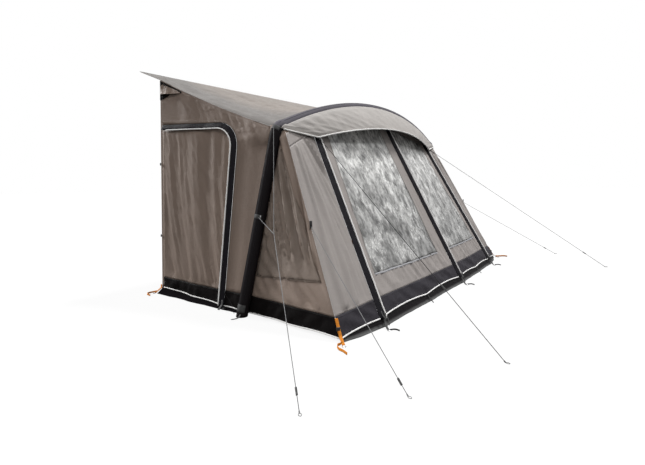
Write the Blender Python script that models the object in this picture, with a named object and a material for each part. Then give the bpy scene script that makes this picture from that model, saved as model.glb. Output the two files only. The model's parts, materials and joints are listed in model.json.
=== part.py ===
"""Porch awning for a caravan, held up by one inflatable arch.

Metres, +Z up. X runs along the caravan, the awning's front faces -Y, and the
caravan stands at +Y. The origin is on the ground, under the middle of the awning.
Each fabric piece is a thin closed sheet of its own, cut where the real one is sewn
or zipped, and lies on one of three surfaces: the side, the front or the roof.
"""
import math

import bmesh
import bpy
from mathutils import Vector

# Footprint and main heights
rail_y = 1.419
rail_height = 2.440
rail_half = 2.030
roof_overhang = 0.265
wall_rear_half = 1.950
wall_rear_height = 2.325
front_corner_half = 2.075
front_corner_y = -1.271
hem_rear_height = 0.060
hem_foot_height = 0.022
hem_corner_height = 0.030
hem_front_height = 0.060

# Inflated arch: two straight legs, two tight bends and a shallow crown
tube_radius = 0.052
leg_foot_half = 2.046
leg_foot_y = -0.186
leg_top_half = 1.800
leg_top_y = -0.404
crown_height = 2.063
crown_rise = 0.363
leg_top_height = crown_height - crown_rise
crown_radius = 4.500
bend_radius = 0.120
sleeve_wall = 0.0015
bladder_wall = 0.0015
sleeve_base = 0.004
leg_stations = 3
bend_stations = 4
crown_stations = 18
tube_sides = 12

# Fabric, and the clearances between its pieces
fabric = 0.0015
film = 0.0010
seam = 0.0004
ridge_seam = 0.0012
roof_seam = 0.0018
moving_edge = 0.0040
leg_clearance = 0.0050
header_clearance = 0.0025

# Roof
roof_edge_sag = 0.035
roof_tip_count = 6
roof_pull_count = 4
roof_sag = 0.110
roof_rear_stations = 2
roof_stations = 8
roof_seat_angle = 25.0

# Lower bands
side_band_top = 0.168
front_band_height = 0.140
band_stations = 2

# Side doors and their zips
door_hinge_inset = 0.030
door_front_rise = 0.065
door_rear_rise = 0.100
door_front_height = leg_top_height + door_front_rise
door_rear_height = leg_top_height + door_rear_rise
door_corner = 0.220
side_zip_foot_half = 1.990
side_zip_foot_y = 0.144
side_zip_head_half = 1.815
side_zip_head_y = 0.109
side_zip_head_rise = 0.050
side_zip_head_height = leg_top_height + side_zip_head_rise
wing_head_drop = 0.026
wing_up_stations = 6
wing_stations = 5
side_band_rear_stations = 2
side_band_front_stations = 4
side_fold = 0.007
side_fold_count = 4
run_stations = 4
corner_stations = 7
top_stations = 6
door_stations = 6
wall_stations = 2

# Front zips
zip_width = 0.055
outer_zip_foot_half = 1.560
outer_zip_head_half = 1.325
middle_zip_foot_x = 0.265
middle_zip_head_x = 0.060
outer_zip_foot_y = -1.341
middle_zip_foot_y = -1.376
front_billow = 0.018
header_depth = 0.110
corner_across_stations = 4
panel_stations = 7
corner_up_stations = 6
window_stations = 5
panel_ring_stations = 1
zip_stations = 6

# Rain flap over each zip
zip_fold = 0.0060
zip_fold_lift = 0.0085
rain_flap_lift = 0.026

# Window frames: how far the cloth reaches in from each zip, at the foot and the head
window_sill_height = 0.375
window_head_drop = 0.060
left_window_outer_foot = 0.105
left_window_outer_head = 0.170
left_window_inner_foot = 0.235
left_window_inner_head = 0.150
right_window_inner_foot = 0.050
right_window_inner_head = 0.110
right_window_outer_foot = 0.080
right_window_outer_head = 0.170

# Canopy over the front
canopy_corner_half = 1.370
canopy_corner_y = -0.561
canopy_corner_drop = 0.068
canopy_corner_height = leg_top_height - canopy_corner_drop
canopy_reach = 0.150
canopy_rise = 0.165
canopy_billow = 0.012
canopy_seat_angle = 15.0
canopy_stations = 3

# Vent covers under the roof's edge
vent_rear_depth = 0.155
vent_front_depth = 0.022
vent_front_y = 0.849
vent_stand_off = 0.024
vent_edge = 0.008
vent_seat = 0.0014
vent_up_stations = 2
vent_stations = 5

# Mud flaps
front_flap_reach = 0.042
front_flap_corner_reach = 0.014
front_flap_taper = 0.220
side_flap_rear_reach = 0.068
side_flap_foot_reach = 0.022
flap_lift = 0.0004
side_flap_stations = 7
flap_corner_stations = 3
flap_middle_stations = 5
flap_stations = 2

# Zip sliders
slider_length = 0.020
slider_width = 0.012
slider_depth = 0.005
pull_length = 0.030
pull_width = 0.007
slider_start = 0.055
slider_seat = 0.0007
side_slider_travel = 1.350
front_slider_travel = 1.450

# Pegging straps and rings
strap_width = 0.025
strap_thickness = 0.0015
strap_stand_off = 0.0009
strap_top_height = 0.165
strap_bend_height = 0.050
strap_foot_height = 0.004
strap_foot_aside = 0.037
strap_foot_ahead = 0.050
rear_strap_height = 0.052
rear_strap_half = 2.018
rear_strap_y = 1.184
ring_radius = 0.015
ring_wire = 0.002
ring_sides = 16
ring_wire_sides = 6

# Air valve, low on the rear of the right leg
valve_height = 0.300
valve_stem_radius = 0.011
valve_flange_radius = 0.016
valve_flange = 0.002
valve_head = 0.008
valve_fit = 0.0004
valve_sides = 16
sleeve_port_radius = 0.020
cap_wall = 0.002
cap_skirt = 0.006

# Guy lines
guy_radius = 0.0025
guy_spans = 12
guy_branch_spans = 4
guy_peg_height = 0.004

# Guy adjusters
adjuster_length = 0.045
adjuster_width = 0.014
adjuster_depth = 0.010
adjuster_bore_fit = 0.0004
adjuster_sides = 8

# Beading in the caravan's rail
beading_radius = 0.0030
beading_sides = 8

# Overrun of the cutters
cut_overrun = 0.020

side_names = {-1: "left", 1: "right"}


def clear_scene():
    """Start from an empty scene."""
    for item in list(bpy.data.objects):
        bpy.data.objects.remove(item, do_unlink=True)


def make_material(name, colour, roughness, metallic=0.0, alpha=1.0):
    """A plain Principled material in the piece's own colour."""
    material = bpy.data.materials.new(name)
    material.use_nodes = True
    shader = material.node_tree.nodes["Principled BSDF"]
    shader.inputs["Base Color"].default_value = (*colour, 1.0)
    shader.inputs["Roughness"].default_value = roughness
    shader.inputs["Metallic"].default_value = metallic
    shader.inputs["Alpha"].default_value = alpha
    material.diffuse_color = (*colour, alpha)
    return material


def place(name, data, material, origin=None):
    """Link a finished mesh or curve as one named piece, its origin where it is told."""
    data.materials.append(material)
    piece = bpy.data.objects.new(name, data)
    if origin is not None:
        for vertex in data.vertices:
            vertex.co -= origin
        piece.location = origin
    bpy.context.scene.collection.objects.link(piece)
    return piece


def from_bmesh(name, bm, material, origin=None):
    """Turn a bmesh into a piece, shaded smooth where it is round."""
    mesh = bpy.data.meshes.new(name)
    bmesh.ops.recalc_face_normals(bm, faces=bm.faces)
    bm.to_mesh(mesh)
    bm.free()
    mesh.shade_smooth()
    mesh.set_sharp_from_angle(angle=math.radians(35))
    return place(name, mesh, material, origin)


def mix(a, b, share):
    """The value a share of the way from a to b."""
    return a + (b - a) * share


def limit(share):
    """A share kept between 0 and 1."""
    return min(max(share, 0.0), 1.0)


def ease(share):
    """A share that starts and ends gently."""
    share = limit(share)
    return share * share * (3 - 2 * share)


def shares(count):
    """Evenly spread shares from 0 to 1."""
    return [i / count for i in range(count + 1)]


def grid_normals(rows, ring):
    """Unit normals of a grid of points, from the grid's own directions."""
    normals = []
    for i, row in enumerate(rows):
        line = []
        for j in range(len(row)):
            up = rows[min(i + 1, len(rows) - 1)][j] - rows[max(i - 1, 0)][j]
            if ring:
                along = row[(j + 1) % len(row)] - row[j - 1]
            else:
                along = row[min(j + 1, len(row) - 1)] - row[max(j - 1, 0)]
            line.append(up.cross(along).normalized())
        normals.append(line)
    return normals


def sheet(name, rows, thickness, material, origin=None, ring=False):
    """A thin closed sheet along a grid of points, both its faces cut by the same diagonals."""
    normals = grid_normals(rows, ring)
    bm = bmesh.new()
    layers = []
    for side in (1, -1):
        layer = []
        for row, line in zip(rows, normals):
            layer.append([bm.verts.new(p + n * (side * thickness / 2)) for p, n in zip(row, line)])
        layers.append(layer)
    outer, inner = layers
    columns = len(rows[0])
    spans = columns if ring else columns - 1
    last = len(rows) - 1
    for j in range(spans):
        k = (j + 1) % columns
        for i in range(last):
            cell = [(i, j), (i + 1, j), (i + 1, k), (i, k)]
            spots = [rows[row][column] for row, column in cell]
            if (spots[0] - spots[2]).length > (spots[1] - spots[3]).length:
                cell = cell[1:] + cell[:1]
            for a, b, c in (cell[:3], cell[2:] + cell[:1]):
                bm.faces.new([outer[row][column] for row, column in (a, b, c)])
                bm.faces.new([inner[row][column] for row, column in (c, b, a)])
        bm.faces.new((outer[0][k], inner[0][k], inner[0][j], outer[0][j]))
        bm.faces.new((outer[last][j], inner[last][j], inner[last][k], outer[last][k]))
    if not ring:
        end = columns - 1
        for i in range(last):
            bm.faces.new((outer[i][0], inner[i][0], inner[i + 1][0], outer[i + 1][0]))
            bm.faces.new((outer[i + 1][end], inner[i + 1][end], inner[i][end], outer[i][end]))
    return from_bmesh(name, bm, material, origin)


def loft(name, loops, material, origin=None, hollow=False):
    """A solid through closed loops of points, capped at its ends or joined up as a tube."""
    bm = bmesh.new()
    rings = [[bm.verts.new(p) for p in loop] for loop in loops]
    sides = len(loops[0])
    pairs = list(zip(rings, rings[1:]))
    if hollow:
        pairs.append((rings[-1], rings[0]))
    for near, far in pairs:
        for j in range(sides):
            k = (j + 1) % sides
            bm.faces.new((near[j], near[k], far[k], far[j]))
    if not hollow:
        bm.faces.new(rings[0][::-1])
        bm.faces.new(rings[-1])
    return from_bmesh(name, bm, material, origin)


def oval(centre, aside, third, sides):
    """Points round a centre, as far out each way as its two directions are long."""
    points = []
    for side in range(sides):
        angle = math.tau * side / sides
        points.append(centre + aside * math.cos(angle) + third * math.sin(angle))
    return points


def circle(centre, aside, third, radius, sides):
    """Points round a centre in the plane of two unit directions."""
    return oval(centre, aside * radius, third * radius, sides)


def turned(name, profile, centre, axis, sides, material, origin=None, hollow=False):
    """A round solid whose profile of (radius, reach) turns about an axis."""
    towards = Vector(axis).normalized()
    aside = towards.orthogonal().normalized()
    third = towards.cross(aside)
    loops = []
    for radius, reach in profile:
        loops.append(circle(Vector(centre) + towards * reach, aside, third, radius, sides))
    return loft(name, loops, material, origin, hollow)


def cut(piece, cutter):
    """Cut a piece by a hidden cutter."""
    cutter.hide_render = True
    cutter.display_type = "WIRE"
    modifier = piece.modifiers.new("cut", "BOOLEAN")
    modifier.operation = "DIFFERENCE"
    modifier.solver = "EXACT"
    modifier.object = cutter


# The arch's centre line
def arch_lean():
    """How far the arch leans forward for each length that it rises."""
    return (leg_foot_y - leg_top_y) / leg_top_height


def arch_y(z):
    """The leaning arch's y at a height."""
    return leg_foot_y - arch_lean() * z


def crown_z(x, inset=0.0):
    """Height of the crown over a place across the awning, or of a curve inside it."""
    centre = crown_height - crown_radius
    return centre + math.sqrt((crown_radius - inset) ** 2 - x * x)


def leg_splay():
    return (leg_foot_half - leg_top_half) / leg_top_height


def leg_half(z):
    """Half width of the arch at a height of its straight legs."""
    return leg_foot_half - leg_splay() * z


def bend_line():
    """The left bend in (x, z): a round turn between the leg and the crown."""
    corner = Vector((-leg_top_half, leg_top_height))
    down = Vector((-leg_splay(), -1.0)).normalized()
    slope = leg_top_half / math.sqrt(crown_radius**2 - leg_top_half**2)
    inward = Vector((1.0, slope)).normalized()
    half_angle = down.angle(inward) / 2
    centre = corner + (down + inward).normalized() * (bend_radius / math.sin(half_angle))
    reach = bend_radius / math.tan(half_angle)
    first = corner + down * reach - centre
    last = corner + inward * reach - centre
    start = math.atan2(first.y, first.x) % math.tau
    sweep = math.atan2(last.y, last.x) % math.tau - start
    points = []
    for share in shares(bend_stations):
        angle = start + sweep * share
        points.append(centre + Vector((math.cos(angle), math.sin(angle))) * bend_radius)
    return points


def arch_line():
    """Centre line of the whole arch, from the left foot to the right foot."""
    bend = bend_line()
    left = []
    for share in shares(leg_stations)[:-1]:
        z = bend[0].y * share
        left.append((-leg_half(z), z))
    left += [(p.x, p.y) for p in bend]
    for share in shares(crown_stations // 2)[1:]:
        x = mix(bend[-1].x, 0.0, share)
        left.append((x, crown_z(x)))
    right = [(-x, z) for x, z in reversed(left[:-1])]
    return [Vector((x, arch_y(z), z)) for x, z in left + right]


def arch_frames():
    """For each station of the arch: its centre, and the rearward and outward directions."""
    line = arch_line()
    rear = Vector((0.0, 1.0, arch_lean())).normalized()
    frames = []
    for i, centre in enumerate(line):
        ahead = (line[min(i + 1, len(line) - 1)] - line[max(i - 1, 0)]).normalized()
        frames.append((centre, rear, ahead.cross(rear).normalized(), ahead))
    return frames


def on_tube(frame, angle, distance):
    """A point round the tube: angle 0 is the rear, 90 the outside, 180 the front."""
    centre, rear, out, _ = frame
    turn = math.radians(angle)
    return centre + rear * (distance * math.cos(turn)) + out * (distance * math.sin(turn))


def flat_reach(angle):
    """How far the tube's many-sided surface is from its centre line at an angle."""
    half = 180 / tube_sides
    aside = math.radians(angle % (2 * half) - half)
    return tube_radius * math.cos(math.radians(half)) / math.cos(aside)


def tube_loops(radius, lift):
    """Loops of points round the arch's centre line, the two feet cut level at a height."""
    frames = arch_frames()
    loops = []
    for i, frame in enumerate(frames):
        _, rear, out, ahead = frame
        loop = circle(frame[0], rear, out, radius, tube_sides)
        if i in (0, len(frames) - 1):
            loop = [p - ahead * ((p.z - lift) / ahead.z) for p in loop]
        loops.append(loop)
    return loops


def crown_frames():
    """The stations from the middle of one bend to the middle of the other."""
    first = leg_stations + bend_stations // 2
    return arch_frames()[first:-first]


# The side: straight lines from the ground up, with cloth spanned between them
def wall_rear_y():
    return rail_y - roof_overhang


bend_foot = bend_line()[0].y - tube_radius / 2
wrap_heights = (bend_foot - 2 * tube_radius, bend_foot)
wrap_stations = 3


def wrap_angle(z):
    """How far the side panels' edges have gone round the leg: inside it, or beside it."""
    low, high = wrap_heights
    return math.pi / 2 * limit((z - low) / (high - low))


def ridge_at(z):
    """The sewn ridge between the side and the front: half width and y at a height."""
    share = (z - hem_corner_height) / (leg_top_height - hem_corner_height)
    head_half = leg_top_half - tube_radius
    head_y = leg_top_y - tube_radius
    return mix(front_corner_half, head_half, share), mix(front_corner_y, head_y, share)


def side_lines(z):
    """(y, half width) of the side's four straight lines at a height, back to front."""
    share = z / side_zip_head_height
    zip_y = mix(side_zip_foot_y, side_zip_head_y, share)
    zip_half = mix(side_zip_foot_half, side_zip_head_half, share)
    inside = (tube_radius + leg_clearance) * math.cos(wrap_angle(z))
    ridge_half, ridge_y = ridge_at(z)
    return [
        (wall_rear_y(), wall_rear_half),
        (zip_y, zip_half),
        (arch_y(z), leg_half(z) - inside),
        (ridge_y, ridge_half),
    ]


def side_half(y, z):
    """Half width of the side cloth at a place (y, z), with its soft folds."""
    lines = side_lines(z)
    for (y0, half0), (y1, half1) in zip(lines, lines[1:]):
        if y >= y1 or y1 == lines[-1][0]:
            share = limit((y0 - y) / (y0 - y1))
            wave = math.pi * (side_fold_count * share + z / leg_top_height)
            size_share = (y0 - y1) / (wall_rear_y() - side_zip_foot_y)
            fold = side_fold * size_share * math.sin(math.pi * share) ** 2 * math.sin(wave)
            return mix(half0, half1, share) + fold
    return lines[-1][1]


def side_point(side, y, z, lift=0.0):
    """The side cloth's point for side -1 (left) or 1 (right), lifted outwards."""
    return Vector((side * (side_half(y, z) + lift), y, z))


def side_hem(y):
    """Height of the hem along the side."""
    if y >= leg_foot_y:
        share = (wall_rear_y() - y) / (wall_rear_y() - leg_foot_y)
        return mix(hem_rear_height, hem_foot_height, limit(share))
    share = (leg_foot_y - y) / (leg_foot_y - front_corner_y)
    return mix(hem_foot_height, hem_corner_height, limit(share))


def roof_seat():
    """The roof's front edge is sewn on end to the tube."""
    return flat_reach(roof_seat_angle) + fabric / 4 + seam


def roof_corner():
    """The roof's front corner on the left bend."""
    return on_tube(crown_frames()[0], roof_seat_angle, roof_seat())


def roof_edge_height(y):
    """Height of the roof's side edge, which sags a little between its two ends."""
    rear_y = wall_rear_y()
    if y > rear_y:
        return mix(wall_rear_height, rail_height, (y - rear_y) / (rail_y - rear_y))
    corner = roof_corner()
    share = limit((rear_y - y) / (rear_y - corner.y))
    return mix(wall_rear_height, corner.z, share) - 4 * roof_edge_sag * share * (1 - share)


def roof_edge_half(y):
    """Half width of the roof at its side edge."""
    rear_y = wall_rear_y()
    if y > rear_y:
        return mix(wall_rear_half, rail_half, (y - rear_y) / (rail_y - rear_y))
    corner = roof_corner()
    share = limit((rear_y - y) / (rear_y - corner.y))
    return mix(side_half(y, roof_edge_height(y)), -corner.x, share**roof_tip_count)


def wall_top(y):
    """The wall ends just under the roof's edge."""
    return roof_edge_height(y) - roof_seam


def leg_edge(z, towards):
    """Where a side panel ends at the leg: inside it, then round it below the bend."""
    notch = (tube_radius + leg_clearance) * math.sin(wrap_angle(z))
    return arch_y(z) + towards * (ridge_seam + notch)


def leg_levels(foot, count):
    """Heights up a panel's edge at the leg, closer together where it goes round the leg."""
    levels = [mix(foot, wrap_heights[0], share) for share in shares(count)]
    return levels + [mix(*wrap_heights, share) for share in shares(wrap_stations)[1:]]


# The side door's outline
def door_zip_y(z):
    """Middle of the side zip's straight run at a height."""
    return mix(side_zip_foot_y, side_zip_head_y, z / side_zip_head_height)


def door_top(y):
    """Middle of the side zip's top run, which rises a little to the rear."""
    share = (y - side_zip_head_y) / (wall_rear_y() - side_zip_head_y)
    return mix(door_front_height, door_rear_height, share)


def hinge_y():
    return wall_rear_y() - door_hinge_inset


def door_path(offset, foot):
    """The D-shaped edge in (y, z), moved outwards: up the front, round and to the rear."""
    bend_z = door_front_height - door_corner
    points = []
    for share in shares(run_stations):
        z = mix(foot, bend_z, share)
        points.append((door_zip_y(z) - offset, z))
    centre_y = door_zip_y(bend_z) + door_corner
    radius = door_corner + offset
    rise = door_top(centre_y) + offset - bend_z
    for share in shares(corner_stations)[1:]:
        angle = math.pi / 2 * share
        points.append((centre_y - radius * math.cos(angle), bend_z + rise * math.sin(angle)))
    for share in shares(top_stations)[1:]:
        y = mix(centre_y, hinge_y() - seam, share)
        points.append((y, door_top(y) + offset))
    return points


# The front: three zips and two ridges are straight lines, with cloth spanned between
def header_top(x):
    """Where the front's head strip ends under the arch."""
    return crown_z(x, tube_radius + header_clearance)


def header_foot(x):
    return crown_z(x, tube_radius + header_clearance + header_depth)


def zip_line(which):
    """Foot and head of a front zip's middle line: -1 left, 0 middle, 1 right."""
    foot = Vector((which * outer_zip_foot_half, outer_zip_foot_y, hem_front_height))
    head_x = which * outer_zip_head_half
    if which == 0:
        foot = Vector((middle_zip_foot_x, middle_zip_foot_y, hem_front_height))
        head_x = middle_zip_head_x
    return foot, Vector((head_x, arch_y(crown_z(head_x)), header_top(head_x)))


def on_line(line, z):
    """The point of a straight line at a height."""
    foot, head = line
    return foot.lerp(head, (z - foot.z) / (head.z - foot.z))


def line_x(which, z, offset=0.0):
    """x of a front line at a height; -2 and 2 are the ridges."""
    if abs(which) == 2:
        return math.copysign(ridge_at(z)[0], which) + offset
    return on_line(zip_line(which), z).x + offset


def front_lines(z):
    """(x, y) of the front's five straight lines at a height, left to right."""
    ridge_half, ridge_y = ridge_at(z)
    zips = [on_line(zip_line(which), z) for which in (-1, 0, 1)]
    return [(-ridge_half, ridge_y)] + [(p.x, p.y) for p in zips] + [(ridge_half, ridge_y)]


def front_y(x, z):
    """The front cloth's y at a place (x, z), billowing out a little between its lines."""
    lines = front_lines(z)
    for (x0, y0), (x1, y1) in zip(lines, lines[1:]):
        if x <= x1 or x1 == lines[-1][0]:
            share = limit((x - x0) / (x1 - x0))
            clear = zip_width / (x1 - x0)
            swell_share = limit((share - clear) / (1 - 2 * clear))
            height_share = limit(z / leg_top_height)
            swell = math.sin(math.pi * swell_share) ** 2 * math.sin(math.pi * height_share)
            return mix(y0, y1, share) - front_billow * swell
    return lines[-1][1]


def front_point(x, z, lift=0.0):
    """The front cloth's point, lifted forwards."""
    return Vector((x, front_y(x, z) - lift, z))


def front_hem(x):
    """Height of the hem along the front."""
    share = (abs(x) - outer_zip_foot_half) / (front_corner_half - outer_zip_foot_half)
    return mix(hem_front_height, hem_corner_height, limit(share))


def above_hem(height):
    """A level that runs parallel to the front hem."""
    return lambda x: front_hem(x) + height


def front_row(left, right, level, row_shares):
    """A row of places (x, z) between two front lines, at a level given over x."""
    places = []
    for share in row_shares:
        x = mix(line_x(left[0], 0.0, left[1]), line_x(right[0], 0.0, right[1]), share)
        z = 0.0
        for _ in range(6):
            z = level(x)
            x = mix(line_x(left[0], z, left[1]), line_x(right[0], z, right[1]), share)
        places.append((x, z))
    return places


def front_patch(left, right, foot, head, row_shares, up):
    """Grid of points between two front lines and two levels."""
    low = front_row(left, right, foot, row_shares)
    high = front_row(left, right, head, row_shares)
    rows = []
    for share in shares(up):
        row = [(mix(x0, x1, share), mix(z0, z1, share)) for (x0, z0), (x1, z1) in zip(low, high)]
        rows.append([front_point(x, z) for x, z in row])
    return rows


def front_spans():
    """The front's fields from left to right: bounding lines and offsets, and stations."""
    near = zip_width / 2 + seam
    return {
        "corner_left": ((-2, ridge_seam), (-1, -near), corner_across_stations),
        "panel_left": ((-1, near), (0, -near), panel_stations),
        "panel_right": ((0, near), (1, -near), panel_stations),
        "corner_right": ((1, near), (2, -ridge_seam), corner_across_stations),
    }


def build_materials():
    """Every material of the awning, by name."""
    return {
        "side_cloth": make_material("side_cloth", (0.165, 0.128, 0.102), 0.75),
        "front_cloth": make_material("front_cloth", (0.39, 0.36, 0.33), 0.75),
        "roof_cloth": make_material("roof_cloth", (0.31, 0.295, 0.275), 0.75),
        "canopy_cloth": make_material("canopy_cloth", (0.48, 0.45, 0.41), 0.75),
        "band_cloth": make_material("band_cloth", (0.055, 0.050, 0.058), 0.7),
        "flap_cloth": make_material("flap_cloth", (0.035, 0.033, 0.035), 0.6),
        "sleeve_cloth": make_material("sleeve_cloth", (0.030, 0.028, 0.030), 0.8),
        "window_film": make_material("window_film", (0.60, 0.60, 0.60), 0.15, 0.0, 0.4),
        "bladder_film": make_material("bladder_film", (0.70, 0.70, 0.68), 0.4),
        "zip_tape": make_material("zip_tape", (0.022, 0.022, 0.025), 0.7),
        "zip_metal": make_material("zip_metal", (0.05, 0.05, 0.05), 0.35, 0.8),
        "webbing": make_material("webbing", (0.80, 0.32, 0.03), 0.7),
        "steel": make_material("steel", (0.65, 0.65, 0.66), 0.25, 1.0),
        "plastic": make_material("plastic", (0.03, 0.03, 0.03), 0.4),
        "beading": make_material("beading", (0.55, 0.55, 0.55), 0.5),
        "guy_cord": make_material("guy_cord", (0.35, 0.35, 0.36), 0.7),
    }


def build_roof(mats):
    """The roof, a saddle hung between the straight rail and the arch, and its beading."""
    rear = rail_y - 2 * beading_radius - seam
    fronts = [on_tube(frame, roof_seat_angle, roof_seat()) for frame in crown_frames()]
    edge = roof_corner()
    wall_share = (rear - wall_rear_y()) / (rear - edge.y)
    back_shares = [mix(0.0, wall_share, share) for share in shares(roof_rear_stations)]
    back_shares += [mix(wall_share, 1.0, share) for share in shares(roof_stations)[1:]]
    rows = []
    for back_share in back_shares:
        row = []
        edge_y = mix(rear, edge.y, back_share)
        half = roof_edge_half(edge_y)
        height = roof_edge_height(edge_y)
        plain_half = mix(rail_half, -edge.x, back_share)
        plain_height = mix(rail_height, edge.z, back_share)
        for front in fronts:
            across = front.x / -edge.x
            point = Vector((across * rail_half, rear, rail_height)).lerp(front, back_share)
            pull = across**roof_pull_count
            point.x += across * (half - plain_half)
            point.z += (height - plain_height) * pull
            point.z -= 4 * roof_sag * back_share * (1 - back_share) * (1 - pull)
            row.append(point)
        rows.append(row)
    sheet("roof", rows, fabric, mats["roof_cloth"])
    profile = [(beading_radius, -rail_half), (beading_radius, rail_half)]
    centre = (0, rail_y - beading_radius, rail_height)
    turned("rail_beading", profile, centre, (1, 0, 0), beading_sides, mats["beading"])


def build_canopy(mats):
    """The eyebrow canopy, from the arch's front to its own free edge."""
    angle = 180 - canopy_seat_angle
    seat = flat_reach(angle) + fabric / 2 + seam
    tops = [on_tube(frame, angle, seat) for frame in crown_frames()]
    rows = []
    for down_share in shares(canopy_stations):
        row = []
        for top in tops:
            across = top.x / tops[-1].x
            arch_share = 1 - across * across
            free = Vector((across * canopy_corner_half, canopy_corner_y, canopy_corner_height))
            free.y -= canopy_reach * arch_share
            free.z += canopy_rise * arch_share
            point = top.lerp(free, down_share)
            point.y -= canopy_billow * math.sin(math.pi * down_share) * arch_share
            row.append(point)
        rows.append(row)
    sheet("canopy", rows, fabric, mats["canopy_cloth"])


def build_arch(mats):
    """The sleeve, the air tube in it, and the valve in the right leg."""
    inner = tube_radius - sleeve_wall
    bladder_radius = inner - seam
    bore = bladder_radius - bladder_wall
    bladder_base = sleeve_base + seam
    sleeve = loft("beam_sleeve", tube_loops(tube_radius, 0.0), mats["sleeve_cloth"])
    cut(sleeve, loft("sleeve_bore", tube_loops(inner, sleeve_base), mats["sleeve_cloth"]))
    bladder = loft("air_tube", tube_loops(bladder_radius, bladder_base), mats["bladder_film"])
    hollow = tube_loops(bore, bladder_base + bladder_wall)
    cut(bladder, loft("air_tube_bore", hollow, mats["bladder_film"]))

    centre = Vector((leg_half(valve_height), arch_y(valve_height), valve_height))
    axis = Vector((0.0, 1.0, arch_lean())).normalized()
    mouth = tube_radius + valve_head
    beyond = mouth + cut_overrun
    port = [(sleeve_port_radius, 0.0), (sleeve_port_radius, beyond)]
    cut(sleeve, turned("sleeve_port", port, centre, axis, valve_sides, mats["sleeve_cloth"]))
    hole_radius = valve_stem_radius + valve_fit
    hole = [(hole_radius, 0.0), (hole_radius, beyond)]
    cut(bladder, turned("air_tube_port", hole, centre, axis, valve_sides, mats["bladder_film"]))
    flange = bore * math.cos(math.pi / tube_sides)
    flange = math.sqrt(flange**2 - valve_flange_radius**2) - valve_fit
    profile = [
        (valve_flange_radius, flange - valve_flange),
        (valve_flange_radius, flange),
        (valve_stem_radius, flange),
        (valve_stem_radius, mouth),
    ]
    turned("air_valve", profile, centre, axis, valve_sides, mats["plastic"])
    cap_bore = valve_stem_radius + valve_fit
    cap_rim = mouth - cap_skirt
    cap_top = mouth + valve_fit
    cap = [
        (cap_bore, cap_top),
        (cap_bore, cap_rim),
        (cap_bore + cap_wall, cap_rim),
        (cap_bore + cap_wall, cap_top + cap_wall),
    ]
    turned("valve_cap", cap, centre, axis, valve_sides, mats["plastic"], origin=centre)


def side_strip(side, inner, outer, rows):
    """Grid between two paths of (y, z) on the side cloth."""
    grid = []
    for share in shares(rows):
        row = []
        for (y0, z0), (y1, z1) in zip(inner, outer):
            row.append(side_point(side, mix(y0, y1, share), mix(z0, z1, share)))
        grid.append(row)
    return grid


def build_side(side, mats):
    """One side of the awning."""
    name = side_names[side]
    build_side_wall(side, name, mats)
    build_door(side, name, mats)
    build_side_zip(side, name, mats)
    build_wing(side, name, mats)
    build_side_flap(side, name, mats)
    build_vent(side, name, mats)
    build_corner_strap(side, name, mats)
    build_rear_strap(side, name, mats)


def build_side_wall(side, name, mats):
    """The side wall: a frame of cloth round three sides of the door."""
    inner = door_path(zip_width / 2 + seam, side_band_top + seam)
    last_turn = run_stations + corner_stations
    corner_y = roof_corner().y + ridge_seam + tube_radius / 2
    corner_z = wall_top(corner_y)
    outer = [(leg_edge(z, 1), z) for z in leg_levels(side_band_top + seam, run_stations)]
    turn_y = inner[last_turn][0]
    for share in shares(corner_stations - wrap_stations - 1):
        y = mix(corner_y, turn_y, share)
        outer.append((y, wall_top(y)))
    rear = wall_rear_y()
    for share in shares(top_stations)[1:]:
        y = mix(turn_y, rear, share)
        outer.append((y, wall_top(y)))
    strip = hinge_y() + seam
    top = inner[-1][1]
    inner[-1] = (strip, top)
    for share in shares(run_stations)[1:]:
        inner.append((strip, mix(top, side_hem(rear), share)))
        outer.append((rear, mix(wall_top(rear), side_hem(rear), share)))
    grid = side_strip(side, inner, outer, wall_stations)
    sheet("side_wall_" + name, grid, fabric, mats["side_cloth"])


def door_columns():
    """The door's columns: the top point of each, and its share from front edge to hinge."""
    offset = -(zip_width / 2 + seam)
    path = door_path(offset, side_band_top)[run_stations:]
    hinge = hinge_y() - seam
    columns = []
    for y, z in path:
        front = door_zip_y(z) - offset
        columns.append(((y, z), (y - front) / (hinge - front)))
    return columns


def door_foot_y(share, z):
    """y of a door column at a height near its foot."""
    front = door_zip_y(z) + zip_width / 2 + seam
    return mix(front, hinge_y() - seam, share)


def build_door(side, name, mats):
    """The door's cloth and its dark lower band, which swing together."""
    origin = side_point(side, hinge_y(), 0.0, fabric / 2)
    columns = door_columns()
    rows = []
    for up_share in shares(door_stations):
        row = []
        for (top_y, top_z), share in columns:
            foot_z = side_band_top + seam
            y = mix(door_foot_y(share, foot_z), top_y, up_share)
            row.append(side_point(side, y, mix(foot_z, top_z, up_share)))
        rows.append(row)
    sheet("side_door_" + name, rows, fabric, mats["side_cloth"], origin)
    rows = []
    for up_share in shares(band_stations):
        row = []
        for _, share in columns:
            z = side_band_top - seam
            low = side_hem(door_foot_y(share, 0.0)) + moving_edge
            z = mix(low, z, up_share)
            row.append(side_point(side, door_foot_y(share, z), z))
        rows.append(row)
    sheet("side_door_band_" + name, rows, fabric, mats["band_cloth"], origin)


def zip_section():
    """Cross-section of a zip's tape and its rain flap: (offset, lift) from the zip's line."""
    half = zip_width / 2
    return [
        (-half, 0.0),
        (half - zip_fold, 0.0),
        (half, zip_fold_lift / 2),
        (half - zip_fold, zip_fold_lift),
        (-half, rain_flap_lift),
    ]


def build_side_zip(side, name, mats):
    """The zip tape round the door with its rain flap, and its slider."""
    foot = side_hem(side_zip_foot_y) + seam
    rows = []
    for offset, lift in zip_section():
        row = [side_point(side, y, z, lift) for y, z in door_path(offset, foot)]
        rows.append(row)
    rows.insert(1, [tape_middle(near, far) for near, far in zip(rows[0], rows[1])])
    sheet("side_zip_" + name, rows, fabric, mats["zip_tape"])
    build_slider("side_zip_slider_" + name, side_rungs(side), side, mats)


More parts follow.
